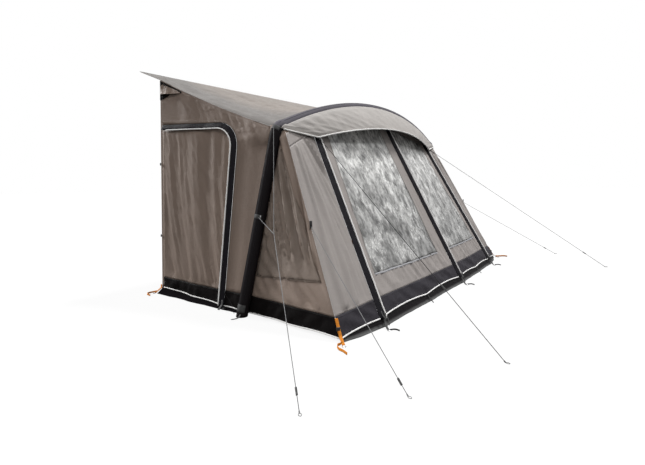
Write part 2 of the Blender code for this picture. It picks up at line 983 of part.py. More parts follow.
def side_rungs(side):
    """The side zip's tape, edge to edge, at both ends of its slider's run."""
    rungs = []
    start = side_hem(side_zip_foot_y) + slider_start
    for z in (start, start + side_slider_travel):
        y, reach = door_zip_y(z), zip_width / 2
        rungs.append((side_point(side, y + reach, z), side_point(side, y - reach + zip_fold, z)))
    return rungs


def band_places():
    """The front band's stations: share of the way from zip to leg, then leg to ridge."""
    places = [(0, share) for share in shares(side_band_rear_stations)]
    return places + [(1, share) for share in shares(side_band_front_stations)[1:]]


def build_wing(side, name, mats):
    """The side's front wing, and the dark band from the door's zip to the ridge."""
    rows = []
    levels = leg_levels(side_band_top + seam, wing_up_stations) + [leg_top_height - wing_head_drop]
    for z in levels:
        back = leg_edge(z, -1)
        front = ridge_at(z)[1] + ridge_seam
        rows.append([side_point(side, mix(back, front, share), z) for share in shares(wing_stations)])
    sheet("side_wing_" + name, rows, fabric, mats["side_cloth"])
    rows = []
    for up_share in shares(band_stations):
        row = []
        for span, share in band_places():
            z = side_band_top - seam
            for _ in range(4):
                back = door_zip_y(z) - zip_width / 2 - seam
                front = ridge_at(z)[1] + ridge_seam
                leg = arch_y(z)
                y = mix(back, leg, share) if span == 0 else mix(leg, front, share)
                z = mix(side_hem(y) + seam, side_band_top - seam, up_share)
            row.append(side_point(side, y, z))
        rows.append(row)
    sheet("side_band_" + name, rows, fabric, mats["band_cloth"])


def build_side_flap(side, name, mats):
    """The mud flap under the door's hem, lying outwards on the ground."""
    rows = []
    end = leg_foot_y + tube_radius + leg_clearance
    for out_share in shares(flap_stations):
        row = []
        for share in shares(side_flap_stations):
            y = mix(wall_rear_y(), end, share)
            hem = side_hem(y) - fabric / 2 - seam
            point = side_point(side, y, hem)
            point.x += side * mix(side_flap_rear_reach, side_flap_foot_reach, share) * out_share
            point.z = mix(hem, fabric + flap_lift, out_share)
            row.append(point)
        rows.append(row)
    sheet("mud_flap_" + name, rows, fabric, mats["flap_cloth"])


def build_vent(side, name, mats):
    """The vent cover: a small hood under the roof's edge at the wall's rear."""
    seat = fabric + vent_seat
    rows = []
    for down_share in shares(vent_up_stations):
        row = []
        for share in shares(vent_stations):
            y = mix(wall_rear_y(), vent_front_y, share)
            top = wall_top(y) - vent_edge
            low = top - mix(vent_rear_depth, vent_front_depth, share)
            z = mix(top, low, down_share)
            stand = mix(vent_stand_off, seat, share)
            row.append(side_point(side, y, z, mix(seat, stand, down_share)))
        rows.append(row)
    sheet("vent_cover_" + name, rows, fabric, mats["side_cloth"])


def tape_middle(near, far):
    """The zip's own line on its tape, from the tape's two edges."""
    return near.lerp(far, (zip_width / 2) / (zip_width - zip_fold))


def build_slider(name, rungs, facing, mats):
    """A zip slider and its pull, flat to the tape midway between both ends of its run."""
    start, end = [tape_middle(near, far) for near, far in rungs]
    along = (end - start).normalized()
    rung = sum(((near - far).normalized() for near, far in rungs), Vector())
    out = rung.cross(along).normalized() * facing
    across = along.cross(out)
    low = fabric / 2 + slider_seat
    half, pull = slider_width / 2, pull_width / 2
    outline = [
        (-pull, -pull_length),
        (pull, -pull_length),
        (pull, 0.0),
        (half, 0.0),
        (half, slider_length),
        (-half, slider_length),
        (-half, 0.0),
        (-pull, 0.0),
    ]
    loops = []
    for lift in (low, low + slider_depth):
        loops.append([start + out * lift + across * u + along * v for u, v in outline])
    loft(name, loops, mats["zip_metal"], origin=start)


def ribbon(name, points, across, material):
    """A flat strap along points, its width in one direction."""
    side = Vector(across).normalized() * (strap_width / 2)
    rows = [[point - side, point + side] for point in points]
    sheet(name, rows, strap_thickness, material)


def build_corner_strap(side, name, mats):
    """The pegging strap down the front corner, and its ring on the ground."""
    outward = Vector((side, -1.0, 0.0)).normalized()
    lift = strap_thickness / 2 + strap_stand_off
    points = []
    for z in (strap_top_height, strap_bend_height):
        half, y = ridge_at(z)
        points.append(Vector((side * half, y, z)) + outward * lift)
    foot_half, foot_y = front_corner_half + strap_foot_aside, front_corner_y - strap_foot_ahead
    foot = Vector((side * foot_half, foot_y, strap_foot_height))
    points.append(foot)
    ribbon("corner_strap_" + name, points, (side, 1.0, 0.0), mats["webbing"])
    reach = ring_radius + ring_wire
    centre = Vector((foot.x, foot.y, ring_wire + flap_lift)) + outward * reach
    loops = []
    for turn in range(ring_sides):
        angle = math.tau * turn / ring_sides
        spoke = Vector((math.cos(angle), math.sin(angle), 0.0))
        up = Vector((0.0, 0.0, 1.0))
        loops.append(circle(centre + spoke * ring_radius, spoke, up, ring_wire, ring_wire_sides))
    loft("strap_ring_" + name, loops, mats["steel"], hollow=True)


def build_rear_strap(side, name, mats):
    """The pegging strap at the foot of the wall's rear edge."""
    y = wall_rear_y() + strap_width / 2 + seam
    top = side_point(side, y, hem_rear_height + strap_width)
    low = side_point(side, y, rear_strap_height)
    foot = Vector((side * rear_strap_half, rear_strap_y, strap_foot_height))
    ribbon("rear_strap_" + name, [top, low, foot], (0.0, 1.0, 0.0), mats["webbing"])


def build_front(mats):
    """The front: corner panels, window panels, bands, zips, head strip and mud flap."""
    low = above_hem(seam)
    band_head = above_hem(front_band_height - seam)
    bands = above_hem(front_band_height + seam)
    head = lambda x: header_foot(x) - seam
    for name in ("left", "right"):
        left, right, stations = front_spans()["corner_" + name]
        across = shares(stations)
        rows = front_patch(left, right, bands, head, across, corner_up_stations)
        sheet("corner_panel_" + name, rows, fabric, mats["front_cloth"])
        rows = front_patch(left, right, low, band_head, across, band_stations)
        sheet("corner_band_" + name, rows, fabric, mats["band_cloth"])
    build_window_panel("left", mats, (
        (left_window_outer_foot, left_window_outer_head),
        (left_window_inner_foot, left_window_inner_head),
    ))
    build_window_panel("right", mats, (
        (right_window_inner_foot, right_window_inner_head),
        (right_window_outer_foot, right_window_outer_head),
    ))
    for which, name in ((-1, "left"), (0, "middle"), (1, "right")):
        build_front_zip(which, name, low, head, mats)
    build_header(mats)
    build_front_flap(mats)


def build_front_zip(which, name, foot, head, mats):
    """A front zip's tape with its rain flap, open to the right, and its slider."""
    rows = []
    for offset, lift in zip_section():
        low = front_row((which, -offset), (which, -offset), foot, [0.0])[0]
        high = front_row((which, -offset), (which, -offset), head, [0.0])[0]
        row = []
        for share in shares(zip_stations):
            x, z = mix(low[0], high[0], share), mix(low[1], high[1], share)
            row.append(front_point(x, z, lift))
        rows.append(row)
    sheet("front_zip_" + name, rows, fabric, mats["zip_tape"])
    build_slider("front_zip_slider_" + name, front_rungs(which), 1, mats)


def front_rungs(which):
    """A front zip's tape, edge to edge, at both ends of its slider's run."""
    line, rungs = zip_line(which), []
    start = line[0].z + slider_start
    rise = (line[1] - line[0]).normalized().z * front_slider_travel
    for z in (start, start + rise):
        x, reach = on_line(line, z).x, zip_width / 2
        rungs.append((front_point(x + reach, z), front_point(x - reach + zip_fold, z)))
    return rungs


def build_header(mats):
    """The head strip under the canopy, which the front panels zip up to."""
    rows = []
    for level in (header_foot, header_top):
        row = []
        for left, right, stations in front_spans().values():
            row += front_row(left, right, level, shares(stations))
        rows.append([front_point(x, z) for x, z in row])
    sheet("front_header", rows, fabric, mats["front_cloth"])


def panel_hinge(name):
    """The line at the hem on which a front panel drops, as its two ends."""
    left, right, _ = front_spans()["panel_" + name]
    ends = front_row(left, right, above_hem(moving_edge), [0.0, 1.0])
    return [front_point(x, z) + Vector((0.0, fabric / 2, 0.0)) for x, z in ends]


def build_window_panel(name, mats, borders):
    """A panel's cloth round its window, the clear film in it, and the lower band."""
    left, right, stations = front_spans()["panel_" + name]
    start, end = panel_hinge(name)
    origin = start.lerp(end, 0.5)
    across = shares(stations)
    up = window_stations
    foot = above_hem(front_band_height + seam)
    head = lambda x: header_foot(x) - moving_edge
    sill = lambda x: window_sill_height
    lintel = lambda x: header_foot(x) - window_head_drop

    def inset(line, border, towards, level):
        """A window edge: a zip line moved in by its border at a level."""
        x = line_x(line[0], level(line_x(line[0], 0.0)))
        z = level(x)
        share = (z - sill(x)) / (lintel(x) - sill(x))
        return line_x(line[0], z, line[1]) + towards * mix(border[0], border[1], share)

    def window_row(level, gap):
        x0 = inset(left, borders[0], 1, level) + gap
        x1 = inset(right, borders[1], -1, level) - gap
        return [(mix(x0, x1, share), level(mix(x0, x1, share))) for share in across]

    def ring_of(low, high):
        """A ring of places: along the foot, up, back along the head and down."""
        ring = low[:-1]
        ring += [mix_place(low[-1], high[-1], share) for share in shares(up)[:-1]]
        ring += high[:0:-1]
        ring += [mix_place(high[0], low[0], share) for share in shares(up)[:-1]]
        return ring

    def mix_place(a, b, share):
        return (mix(a[0], b[0], share), mix(a[1], b[1], share))

    panel = ring_of(front_row(left, right, foot, across), front_row(left, right, head, across))
    opening = ring_of(window_row(sill, 0.0), window_row(lintel, 0.0))
    rows = []
    for share in shares(panel_ring_stations):
        places = [mix_place(a, b, share) for a, b in zip(panel, opening)]
        rows.append([front_point(x, z) for x, z in places])
    sheet("front_panel_" + name, rows, fabric, mats["front_cloth"], origin, ring=True)
    low = window_row(lambda x: sill(x) + 2 * seam, 2 * seam)
    high = window_row(lambda x: lintel(x) - 2 * seam, 2 * seam)
    rows = []
    for share in shares(up):
        rows.append([front_point(*mix_place(a, b, share)) for a, b in zip(low, high)])
    sheet("front_window_" + name, rows, film, mats["window_film"], origin)
    band_head = above_hem(front_band_height - seam)
    rows = front_patch(left, right, above_hem(moving_edge), band_head, across, band_stations)
    sheet("front_band_" + name, rows, fabric, mats["band_cloth"], origin)


def build_front_flap(mats):
    """The mud flap along the front, lying outwards on the ground."""
    half = front_corner_half - 2 * ridge_seam
    corners = shares(flap_corner_stations)
    middles = shares(flap_middle_stations)
    stations = [mix(-half, -outer_zip_foot_half, share) for share in corners]
    stations += [mix(-outer_zip_foot_half, middle_zip_foot_x, share) for share in middles[1:]]
    stations += [mix(middle_zip_foot_x, outer_zip_foot_half, share) for share in middles[1:]]
    stations += [mix(outer_zip_foot_half, half, share) for share in corners[1:]]
    rows = []
    for out_share in shares(flap_stations):
        row = []
        for x in stations:
            hem = front_hem(x) - fabric / 2 - seam
            taper = ease((half - abs(x)) / front_flap_taper)
            point = front_point(x, hem)
            point.y -= mix(front_flap_corner_reach, front_flap_reach, taper) * out_share
            point.z = mix(hem, fabric + flap_lift, out_share)
            row.append(point)
        rows.append(row)
    sheet("mud_flap_front", rows, fabric, mats["flap_cloth"])


# Guy lines: the route points of each, from the awning to the ground
shoulder_loop = Vector((-1.8450, -0.4094, 1.6934))
leg_loop = Vector((-1.9638, -0.3264, 0.8848))
guy_routes = {
    "left_beam": [
        shoulder_loop,
        Vector((-2.2690, -0.7850, 0.8040)),
        Vector((-3.0190, -1.6380, guy_peg_height)),
    ],
    "left_ridge": [Vector((-1.9189, -0.8815, 0.8327)), Vector((-2.5300, -2.0280, guy_peg_height))],
    "left_canopy": [Vector((-1.3706, -0.5623, 1.6318)), Vector((-1.7520, -2.3630, guy_peg_height))],
    "right_canopy": [Vector((1.3706, -0.5623, 1.6318)), Vector((2.1580, -2.6930, guy_peg_height))],
    "right_ridge": [Vector((1.9189, -0.8815, 0.8327)), Vector((2.9000, -1.9910, guy_peg_height))],
}
adjuster_shares = {
    "left_beam": 0.930,
    "left_ridge": 0.955,
    "left_canopy": 0.755,
    "right_canopy": 0.900,
    "right_ridge": 0.900,
}


def taut_points(route, spans):
    """Points along a taut cord, evenly spread over each stretch of its route."""
    lengths = [(b - a).length for a, b in zip(route, route[1:])]
    points = [route[0]]
    for a, b, length in zip(route, route[1:], lengths):
        count = max(round(spans * length / sum(lengths)), 1)
        points += [a.lerp(b, share) for share in shares(count)[1:]]
    return points


def cord(name, route, spans, material):
    """A round cord along its route, with closed ends."""
    points = taut_points(route, spans)
    curve = bpy.data.curves.new(name, "CURVE")
    curve.dimensions = "3D"
    curve.bevel_depth = guy_radius
    curve.bevel_resolution = 2
    curve.render_resolution_u = 0
    curve.use_fill_caps = True
    spline = curve.splines.new("POLY")
    spline.points.add(len(points) - 1)
    for target, point in zip(spline.points, points):
        target.co = (*point, 1.0)
    place(name, curve, material)


def build_adjuster(name, route, share, mats):
    """A guy adjuster: a small oval block with a bore, on the cord's last stretch."""
    start, end = route[-2], route[-1]
    along = (start - end).normalized()
    centre = start.lerp(end, share)
    aside = along.orthogonal().normalized()
    third = along.cross(aside)
    bore = guy_radius + adjuster_bore_fit
    loops = []
    wide, tall = adjuster_width / 2, adjuster_depth / 2
    for half, rise, reach in (
        (wide, tall, 0.0),
        (wide, tall, adjuster_length),
        (bore, bore, adjuster_length),
        (bore, bore, 0.0),
    ):
        loops.append(oval(centre + along * reach, aside * half, third * rise, adjuster_sides))
    loft("guy_adjuster_" + name, loops, mats["plastic"], origin=centre, hollow=True)


def build_guys(mats):
    """Every guy line and its adjuster, and the branch from the left leg."""
    for name, route in guy_routes.items():
        cord("guy_line_" + name, route, guy_spans, mats["guy_cord"])
        build_adjuster(name, route, adjuster_shares[name], mats)
    joint = guy_routes["left_beam"][1]
    towards = (joint - leg_loop).normalized()
    branch = [leg_loop, joint - towards * (2 * guy_radius + seam)]
    cord("guy_branch_left_beam", branch, guy_branch_spans, mats["guy_cord"])


def main():
    clear_scene()
    mats = build_materials()
    build_roof(mats)
    build_canopy(mats)
    build_arch(mats)
    for side in (-1, 1):
        build_side(side, mats)
    build_front(mats)
    build_guys(mats)


main()
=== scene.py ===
# %% [markdown]
# # A porch awning, dressed
#
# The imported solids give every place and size. This lesson dresses them: each cloth solid is
# laid again as a fine sheet on the same surface, so that folds, hems, flaps and piping show,
# and each finish gets a material of its own. Lengths are metres and +Z is up. The front
# faces -Y, and the wall that the awning hangs on stands at +Y.

# %% Load the solids
import math
from collections import namedtuple

import bmesh
import bpy
from mathutils import Matrix, Vector, noise
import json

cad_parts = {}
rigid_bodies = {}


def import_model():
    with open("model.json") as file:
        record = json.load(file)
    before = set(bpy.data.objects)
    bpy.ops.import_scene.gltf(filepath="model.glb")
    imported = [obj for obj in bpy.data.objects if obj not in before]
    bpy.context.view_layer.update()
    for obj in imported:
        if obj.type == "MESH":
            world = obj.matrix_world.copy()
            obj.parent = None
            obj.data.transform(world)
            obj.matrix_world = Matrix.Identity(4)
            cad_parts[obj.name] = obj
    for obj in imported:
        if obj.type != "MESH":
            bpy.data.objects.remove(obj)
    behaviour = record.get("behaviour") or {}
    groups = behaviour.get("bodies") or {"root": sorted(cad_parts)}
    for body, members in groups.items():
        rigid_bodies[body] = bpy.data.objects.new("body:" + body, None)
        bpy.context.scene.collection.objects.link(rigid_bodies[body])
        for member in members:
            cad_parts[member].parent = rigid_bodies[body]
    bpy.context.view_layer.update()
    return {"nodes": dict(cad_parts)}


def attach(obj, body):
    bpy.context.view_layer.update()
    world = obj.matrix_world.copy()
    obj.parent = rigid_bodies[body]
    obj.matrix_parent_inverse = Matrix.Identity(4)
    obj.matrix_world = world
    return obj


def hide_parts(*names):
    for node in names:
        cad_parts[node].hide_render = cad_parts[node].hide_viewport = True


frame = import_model()
nodes = frame["nodes"]
ROOT = "awning"
sides = {"left": -1, "right": 1}
front_zips = {"left": -1, "middle": 0, "right": 1}

# %% [markdown]
# ## Sizes
#
# These are the sizes that the solids were made with, under the same names. A sheet could
# instead be fitted to each solid's mesh, but one set of sizes keeps neighbours in line with
# each other, and a fold can then be asked for at any place on a surface.

# %% The rail and the rear wall line
rail_y, rail_height, rail_half = 1.419, 2.440, 2.030
rail_beading = 0.0060
wall_rear_y = rail_y - 0.265
wall_rear_half, wall_rear_height = 1.950, 2.325
hinge_y = wall_rear_y - 0.030

# %% The arch and the front corners
tube_radius = 0.052
leg_foot_half, leg_foot_y = 2.046, -0.186
leg_top_half, leg_top_y, leg_top_z = 1.800, -0.404, 1.700
crown_height, crown_radius, bend_radius = 2.063, 4.500, 0.120
corner_half, corner_y = 2.075, -1.271

# %% Seams, hems and sags of the cloth
seam = 0.0004
ridge_seam, roof_seam = 0.0012, 0.0018
leg_gap = 0.0060
cloth_thickness = 0.0012
hem_rear, hem_foot, hem_corner, hem_front = 0.060, 0.022, 0.030, 0.060
side_band_top, front_band_height = 0.168, 0.140
band_lap, band_stand_off = 0.005, 0.0016
roof_edge_sag, roof_sag = 0.035, 0.110
side_wave, front_billow = 0.007, 0.018
header_gap, header_depth = 0.0025, 0.110
wing_head = leg_top_z - 0.026

# %% Zips, door, windows and canopy
zip_width = 0.055
half_zip = zip_width / 2
near = half_zip + seam
side_zip_foot, side_zip_head = (0.144, 1.990), (0.109, 1.815)
side_zip_head_z = 1.750
outer_zip_foot_half, outer_zip_head_half = 1.560, 1.325
middle_zip_foot_x, middle_zip_head_x = 0.265, 0.060
outer_zip_foot_y, middle_zip_foot_y = -1.341, -1.376
door_front_z, door_rear_z, door_corner = 1.765, 1.800, 0.220
door_bend_z = door_front_z - door_corner
sill_height, lintel_drop = 0.375, 0.060
canopy_half, canopy_y, canopy_z = 1.370, -0.561, 1.632
canopy_reach, canopy_rise = 0.150, 0.165

# %% Pipings, welts, straps and wires
front_piping, side_piping, hem_piping, canopy_piping = 0.0070, 0.0070, 0.0060, 0.0075
piping_out = 0.003
roof_welt, window_welt, cover_welt, sleeve_welt = 0.0035, 0.0022, 0.0022, 0.0016
strap_thickness, tape_thickness, tab_thickness, canopy_tab_thickness = 0.0014, 0.0016, 0.0018, 0.0024
loop_wire, pulled_ring_wire, eye_wire = 0.0022, 0.0020, 0.0018
block_edge = 0.003

# %% [markdown]
# ## Shares and lines
#
# Cloth is easiest to lay when each place is a share of the way between two known lines.
# These small helpers mix values, soften a step and spread points along a line.

# %% Shares
def mix(a, b, share):
    return a + (b - a) * share


def limit(share):
    return min(max(share, 0.0), 1.0)


def ease(share):
    """A share that starts and stops gently."""
    share = limit(share)
    return share * share * (3 - 2 * share)


def shares(count):
    return [i / count for i in range(count + 1)]


def steps(a, b, count):
    """Values evenly spread from a to b."""
    return [mix(a, b, share) for share in shares(count)]


def mix_place(a, b, share):
    return mix(a[0], b[0], share), mix(a[1], b[1], share)


# %% Lines
def run_of(points):
    """The length of a line through points."""
    return sum((Vector(b) - Vector(a)).length for a, b in zip(points, points[1:]))


def heading(points, i):
    """The direction of a line at one of its points."""
    return (Vector(points[min(i + 1, len(points) - 1)]) - Vector(points[max(i - 1, 0)])).normalized()


def resampled(points, count):
    """Points evenly spread along a polyline."""
    lengths = [0.0]
    for a, b in zip(points, points[1:]):
        lengths.append(lengths[-1] + (Vector(b) - Vector(a)).length)
    result, k = [], 0
    for share in shares(count):
        want = share * lengths[-1]
        while k < len(points) - 2 and lengths[k + 1] < want:
            k += 1
        span = lengths[k + 1] - lengths[k]
        part = (want - lengths[k]) / span if span else 0
        result.append(Vector(points[k]).lerp(Vector(points[k + 1]), part))
    return result


# %% [markdown]
# ## The arch's centre line
#
# One inflated tube carries the whole awning: two leaning legs, two tight bends and a shallow
# crown. The line is worked out, not drawn, because the cloth, the seams and the straps all
# ask where the tube is.

# %% Legs and crown
arch_lean = (leg_foot_y - leg_top_y) / leg_top_z
leg_splay = (leg_foot_half - leg_top_half) / leg_top_z


def arch_y(z):
    return leg_foot_y - arch_lean * z


def leg_half(z):
    return leg_foot_half - leg_splay * z


def crown_z(x, inset=0.0):
    return crown_height - crown_radius + math.sqrt((crown_radius - inset) ** 2 - x * x)


# %% Bends, and the whole line
def bend_points(count):
    """The left bend in (x, z)."""
    corner = Vector((-leg_top_half, leg_top_z))
    down = Vector((-leg_splay, -1.0)).normalized()
    crown_slope = leg_top_half / math.sqrt(crown_radius**2 - leg_top_half**2)
    inward = Vector((1.0, crown_slope)).normalized()
    half = down.angle(inward) / 2
    centre = corner + (down + inward).normalized() * (bend_radius / math.sin(half))
    reach = bend_radius / math.tan(half)
    first, last = corner + down * reach - centre, corner + inward * reach - centre
    start = math.atan2(first.y, first.x) % math.tau
    sweep = math.atan2(last.y, last.x) % math.tau - start
    turns = [start + sweep * share for share in shares(count)]
    return [centre + Vector((math.cos(turn), math.sin(turn))) * bend_radius for turn in turns]


def arch_points(leg_count, bend_count, crown_count):
    """The centre line from foot to foot."""
    bend = bend_points(bend_count)
    left = [(-leg_half(bend[0].y * share), bend[0].y * share) for share in shares(leg_count)[:-1]]
    left += [(p.x, p.y) for p in bend]
    left += [(x, crown_z(x)) for x in steps(bend[-1].x, 0.0, crown_count)[1:]]
    right = [(-x, z) for x, z in reversed(left[:-1])]
    return [Vector((x, arch_y(z), z)) for x, z in left + right]


# %% Stations along the tube
Station = namedtuple("Station", "centre rear out ahead")


def arch_stations(points):
    """Each point with the rearward, the outward and the running direction."""
    rear = Vector((0.0, 1.0, arch_lean)).normalized()
    headings = [heading(points, i) for i in range(len(points))]
    return [Station(p, rear, ahead.cross(rear).normalized(), ahead) for p, ahead in zip(points, headings)]


def on_tube(station, angle, distance):
    """A place beside the centre line: 0 degrees is rearward and 90 outward."""
    turn = math.radians(angle)
    behind, outside = distance * math.cos(turn), distance * math.sin(turn)
    return station.centre + station.rear * behind + station.out * outside


def nearest(place):
    """The station of the fine arch that is nearest to a place."""
    return min(fine_arch, key=lambda station: (station.centre - place).length)


leg_count, bend_count, crown_count = 6, 8, 54
bend_middle = leg_count + bend_count // 2
crown = arch_stations(arch_points(leg_count, bend_count, crown_count))[bend_middle:-bend_middle]
fine_arch = arch_stations(resampled(arch_points(30, 16, 60), 300))
print("arch: %.2f m from foot to foot" % run_of([station.centre for station in fine_arch]))

# %% Where the cloth wraps round the bend
bend_foot = bend_points(4)[0].y - tube_radius / 2
wrap_low, wrap_high = bend_foot - 2 * tube_radius, bend_foot


def wrap_angle(z):
    return math.pi / 2 * limit((z - wrap_low) / (wrap_high - wrap_low))


def leg_heights(leg_steps, wrap_steps):
    """Heights from the dark band to the bend, closer where the cloth wraps."""
    return steps(side_band_top, wrap_low, leg_steps) + steps(wrap_low, wrap_high, wrap_steps)[1:]


# %% [markdown]
# ## Folds
#
# Tensioned cloth folds along the pull. A cloth simulation would give folds too, but not at
# chosen places. Noise that is squeezed across one direction reads as folds that run along
# it, and the same noise bent back on itself reads as sharp creases. A kind of fold has a
# lean in degrees, a spacing across, a length along, a depth, and a seed for its own pattern.

# %% Noise as folds
crease_sharpness = 3.2


def soft(a, b, seed):
    return noise.noise(Vector((a, b, seed)))


def crease(value):
    """Noise turned into narrow ridges with flat cloth between them."""
    return (1 - min(abs(value) * crease_sharpness, 1.0)) ** 2


# %% Folds that lean, and folds that spread
Fold = namedtuple("Fold", "lean across along depth seed")


def leaning(a, b, kind, turn=0, shift=0):
    """Noise in the plane (a, b) whose folds run at the kind's lean from b's axis."""
    angle = math.radians(kind.lean + turn)
    u = a * math.cos(angle) + b * math.sin(angle)
    v = -a * math.sin(angle) + b * math.cos(angle)
    return soft(u / kind.across, v / kind.along, kind.seed + shift)


def spreading(a, b, centre, kind):
    """Noise whose folds spread from a point."""
    da, db = a - centre[0], b - centre[1]
    return soft(math.atan2(da, db) / kind.across, math.hypot(da, db) / kind.along, kind.seed)


def folds(a, b, kind, turn=0, shift=0):
    return leaning(a, b, kind, turn, shift) * kind.depth


def creases(a, b, kind, turn=0, shift=0):
    return crease(leaning(a, b, kind, turn, shift)) * kind.depth


# %% Wrinkles of a loose band
Wrinkle = namedtuple("Wrinkle", "along slant up depth seed")


def wrinkle(a, z, kind):
    return soft(a * kind.along + z * kind.slant, z * kind.up, kind.seed)


def band_ruck(a, z, rounded, sharp):
    """Rounded wrinkles and sharp ones together, at a run along the band and a height."""
    return wrinkle(a, z, rounded) * rounded.depth + crease(wrinkle(a, z, sharp)) * sharp.depth


# %% [markdown]
# ## The side surface
#
# Each side is one taut surface from the rear strip to the front corner. It passes inside the
# leg and bulges a little between its lines. It is a function of (y, z), so the wall, the door,
# the zip and the dark band all lie on it.

# %% The side's lines
def ridge_at(z):
    """Half width and y of the front corner at a height."""
    share = (z - hem_corner) / (leg_top_z - hem_corner)
    return mix(corner_half, leg_top_half - tube_radius, share), mix(corner_y, leg_top_y - tube_radius, share)


def door_zip_y(z):
    return mix(side_zip_foot[0], side_zip_head[0], z / side_zip_head_z)


def side_lines(z):
    """(y, half width) of the rear edge, the door's zip, the leg and the corner."""
    inside = (tube_radius + leg_gap) * math.cos(wrap_angle(z))
    ridge_half, ridge_y = ridge_at(z)
    return [
        (wall_rear_y, wall_rear_half),
        (door_zip_y(z), mix(side_zip_foot[1], side_zip_head[1], z / side_zip_head_z)),
        (arch_y(z), leg_half(z) - inside),
        (ridge_y, ridge_half),
    ]


def side_half(y, z):
    """Half width of the awning at a place on its side."""
    lines = side_lines(z)
    for (y0, half0), (y1, half1) in zip(lines, lines[1:]):
        if y >= y1:
            break
    share = limit((y0 - y) / (y0 - y1))
    wave = math.pi * (4 * share + z / leg_top_z)
    size_share = (y0 - y1) / (wall_rear_y - side_zip_foot[0])
    bulge = side_wave * size_share * math.sin(math.pi * share) ** 2 * math.sin(wave)
    return mix(half0, half1, share) + bulge


# %% The side's hem and top
def side_hem(y):
    if y >= leg_foot_y:
        return mix(hem_rear, hem_foot, limit((wall_rear_y - y) / (wall_rear_y - leg_foot_y)))
    return mix(hem_foot, hem_corner, limit((leg_foot_y - y) / (leg_foot_y - corner_y)))


roof_turn, roof_seat = 25.0, tube_radius * 0.983 + 0.0006
roof_corner = on_tube(crown[0], roof_turn, roof_seat)
wall_front_top = roof_corner.y + ridge_seam + tube_radius / 2


def roof_edge_z(y):
    if y > wall_rear_y:
        return mix(wall_rear_height, rail_height, (y - wall_rear_y) / (rail_y - wall_rear_y))
    share = limit((wall_rear_y - y) / (wall_rear_y - roof_corner.y))
    return mix(wall_rear_height, roof_corner.z, share) - 4 * roof_edge_sag * share * (1 - share)


def roof_edge_half(y):
    if y > wall_rear_y:
        return mix(wall_rear_half, rail_half, (y - wall_rear_y) / (rail_y - wall_rear_y))
    share = limit((wall_rear_y - y) / (wall_rear_y - roof_corner.y))
    return mix(side_half(y, roof_edge_z(y)), -roof_corner.x, share**6)


def wall_top(y):
    return roof_edge_z(y) - roof_seam


def leg_edge(z, towards):
    """Where the cloth meets the leg, behind it (1) or in front (-1)."""
    return arch_y(z) + towards * (ridge_seam + (tube_radius + leg_gap) * math.sin(wrap_angle(z)))


# %% [markdown]
# ## The door's outline
#
# The door is D-shaped: a leaning front edge, a round corner and a nearly level head. Its zip
# runs along all three, so the outline is a path that can be moved in or out.

# %% The door's path
door_front_steps, door_bend_steps, door_head_steps = 40, 24, 36


def door_top(y):
    return mix(door_front_z, door_rear_z, (y - side_zip_head[0]) / (wall_rear_y - side_zip_head[0]))


def door_path(offset, foot):
    """The D-shaped edge in (y, z), moved outwards."""
    points = [(door_zip_y(z) - offset, z) for z in steps(foot, door_bend_z, door_front_steps)]
    centre = door_zip_y(door_bend_z) + door_corner
    radius = door_corner + offset
    rise = door_top(centre) + offset - door_bend_z
    for share in shares(door_bend_steps)[1:]:
        turn = math.pi / 2 * share
        points.append((centre - radius * math.cos(turn), door_bend_z + rise * math.sin(turn)))
    return points + [(y, door_top(y) + offset) for y in steps(centre, hinge_y, door_head_steps)[1:]]


def door_inside(y, z):
    """How far a place lies inside the door's edge; negative outside it."""
    front, top = y - door_zip_y(z), door_top(y) - z
    if z > door_bend_z and front < door_corner:
        return door_corner - math.hypot(door_corner - front, z - door_bend_z)
    return min(front, top)


# %% [markdown]
# ## The side's folds
#
# The photograph shows long leaning folds on the door, short strain lines under the roof
# and deep steep folds on the wing in front of the leg. Each fades out at its own seams, so
# that a sheet always meets its neighbour.

# %% The door's folds
door_lean_foot, door_lean_head, door_lean_top = -21, -10, 1.6
door_long = Fold(lean=0, across=0.085, along=2.2, depth=0.024, seed=1.3)
door_short = Fold(lean=-4, across=0.036, along=1.4, depth=0.009, seed=5.1)
door_fine = Fold(lean=-8, across=0.018, along=0.5, depth=0.0030, seed=8.4)
door_crease = Fold(lean=-30, across=0.07, along=0.50, depth=0.007, seed=9.7)
side_seam_fade, door_fade, foot_fade = 0.05, 0.06, 0.08


def door_folds(y, z, inside):
    """Long folds that stand up straighter towards the door's head."""
    held = ease(min(inside - half_zip, hinge_y - y) / door_fade) * ease((z - side_band_top) / foot_fade)
    turn = mix(door_lean_foot, door_lean_head, limit(z / door_lean_top))
    long = folds(y, z, door_long, turn) + folds(y, z, door_short, turn)
    return held * (long + folds(y, z, door_fine, turn) + creases(y, z, door_crease))


# %% The wall's folds
strain_crease = Fold(lean=-32, across=0.022, along=0.34, depth=0.009, seed=2.2)
strain_fold = Fold(lean=-27, across=0.034, along=0.6, depth=0.011, seed=4.4)
wall_calm = Fold(lean=-10, across=0.16, along=0.9, depth=0.003, seed=6.1)
strain_reach = 0.45


def wall_folds(y, z, inside):
    """Strain lines just under the roof, and nearly calm cloth below them."""
    edge = min(-inside - half_zip, wall_top(y) - z, abs(y - leg_edge(z, 1)))
    held = ease(edge / side_seam_fade) * ease((z - side_band_top) / foot_fade)
    near_roof = ease(1 - (wall_top(y) - z) / strain_reach)
    strain = creases(y, z, strain_crease) + folds(y, z, strain_fold)
    return held * (near_roof * strain + folds(y, z, wall_calm))


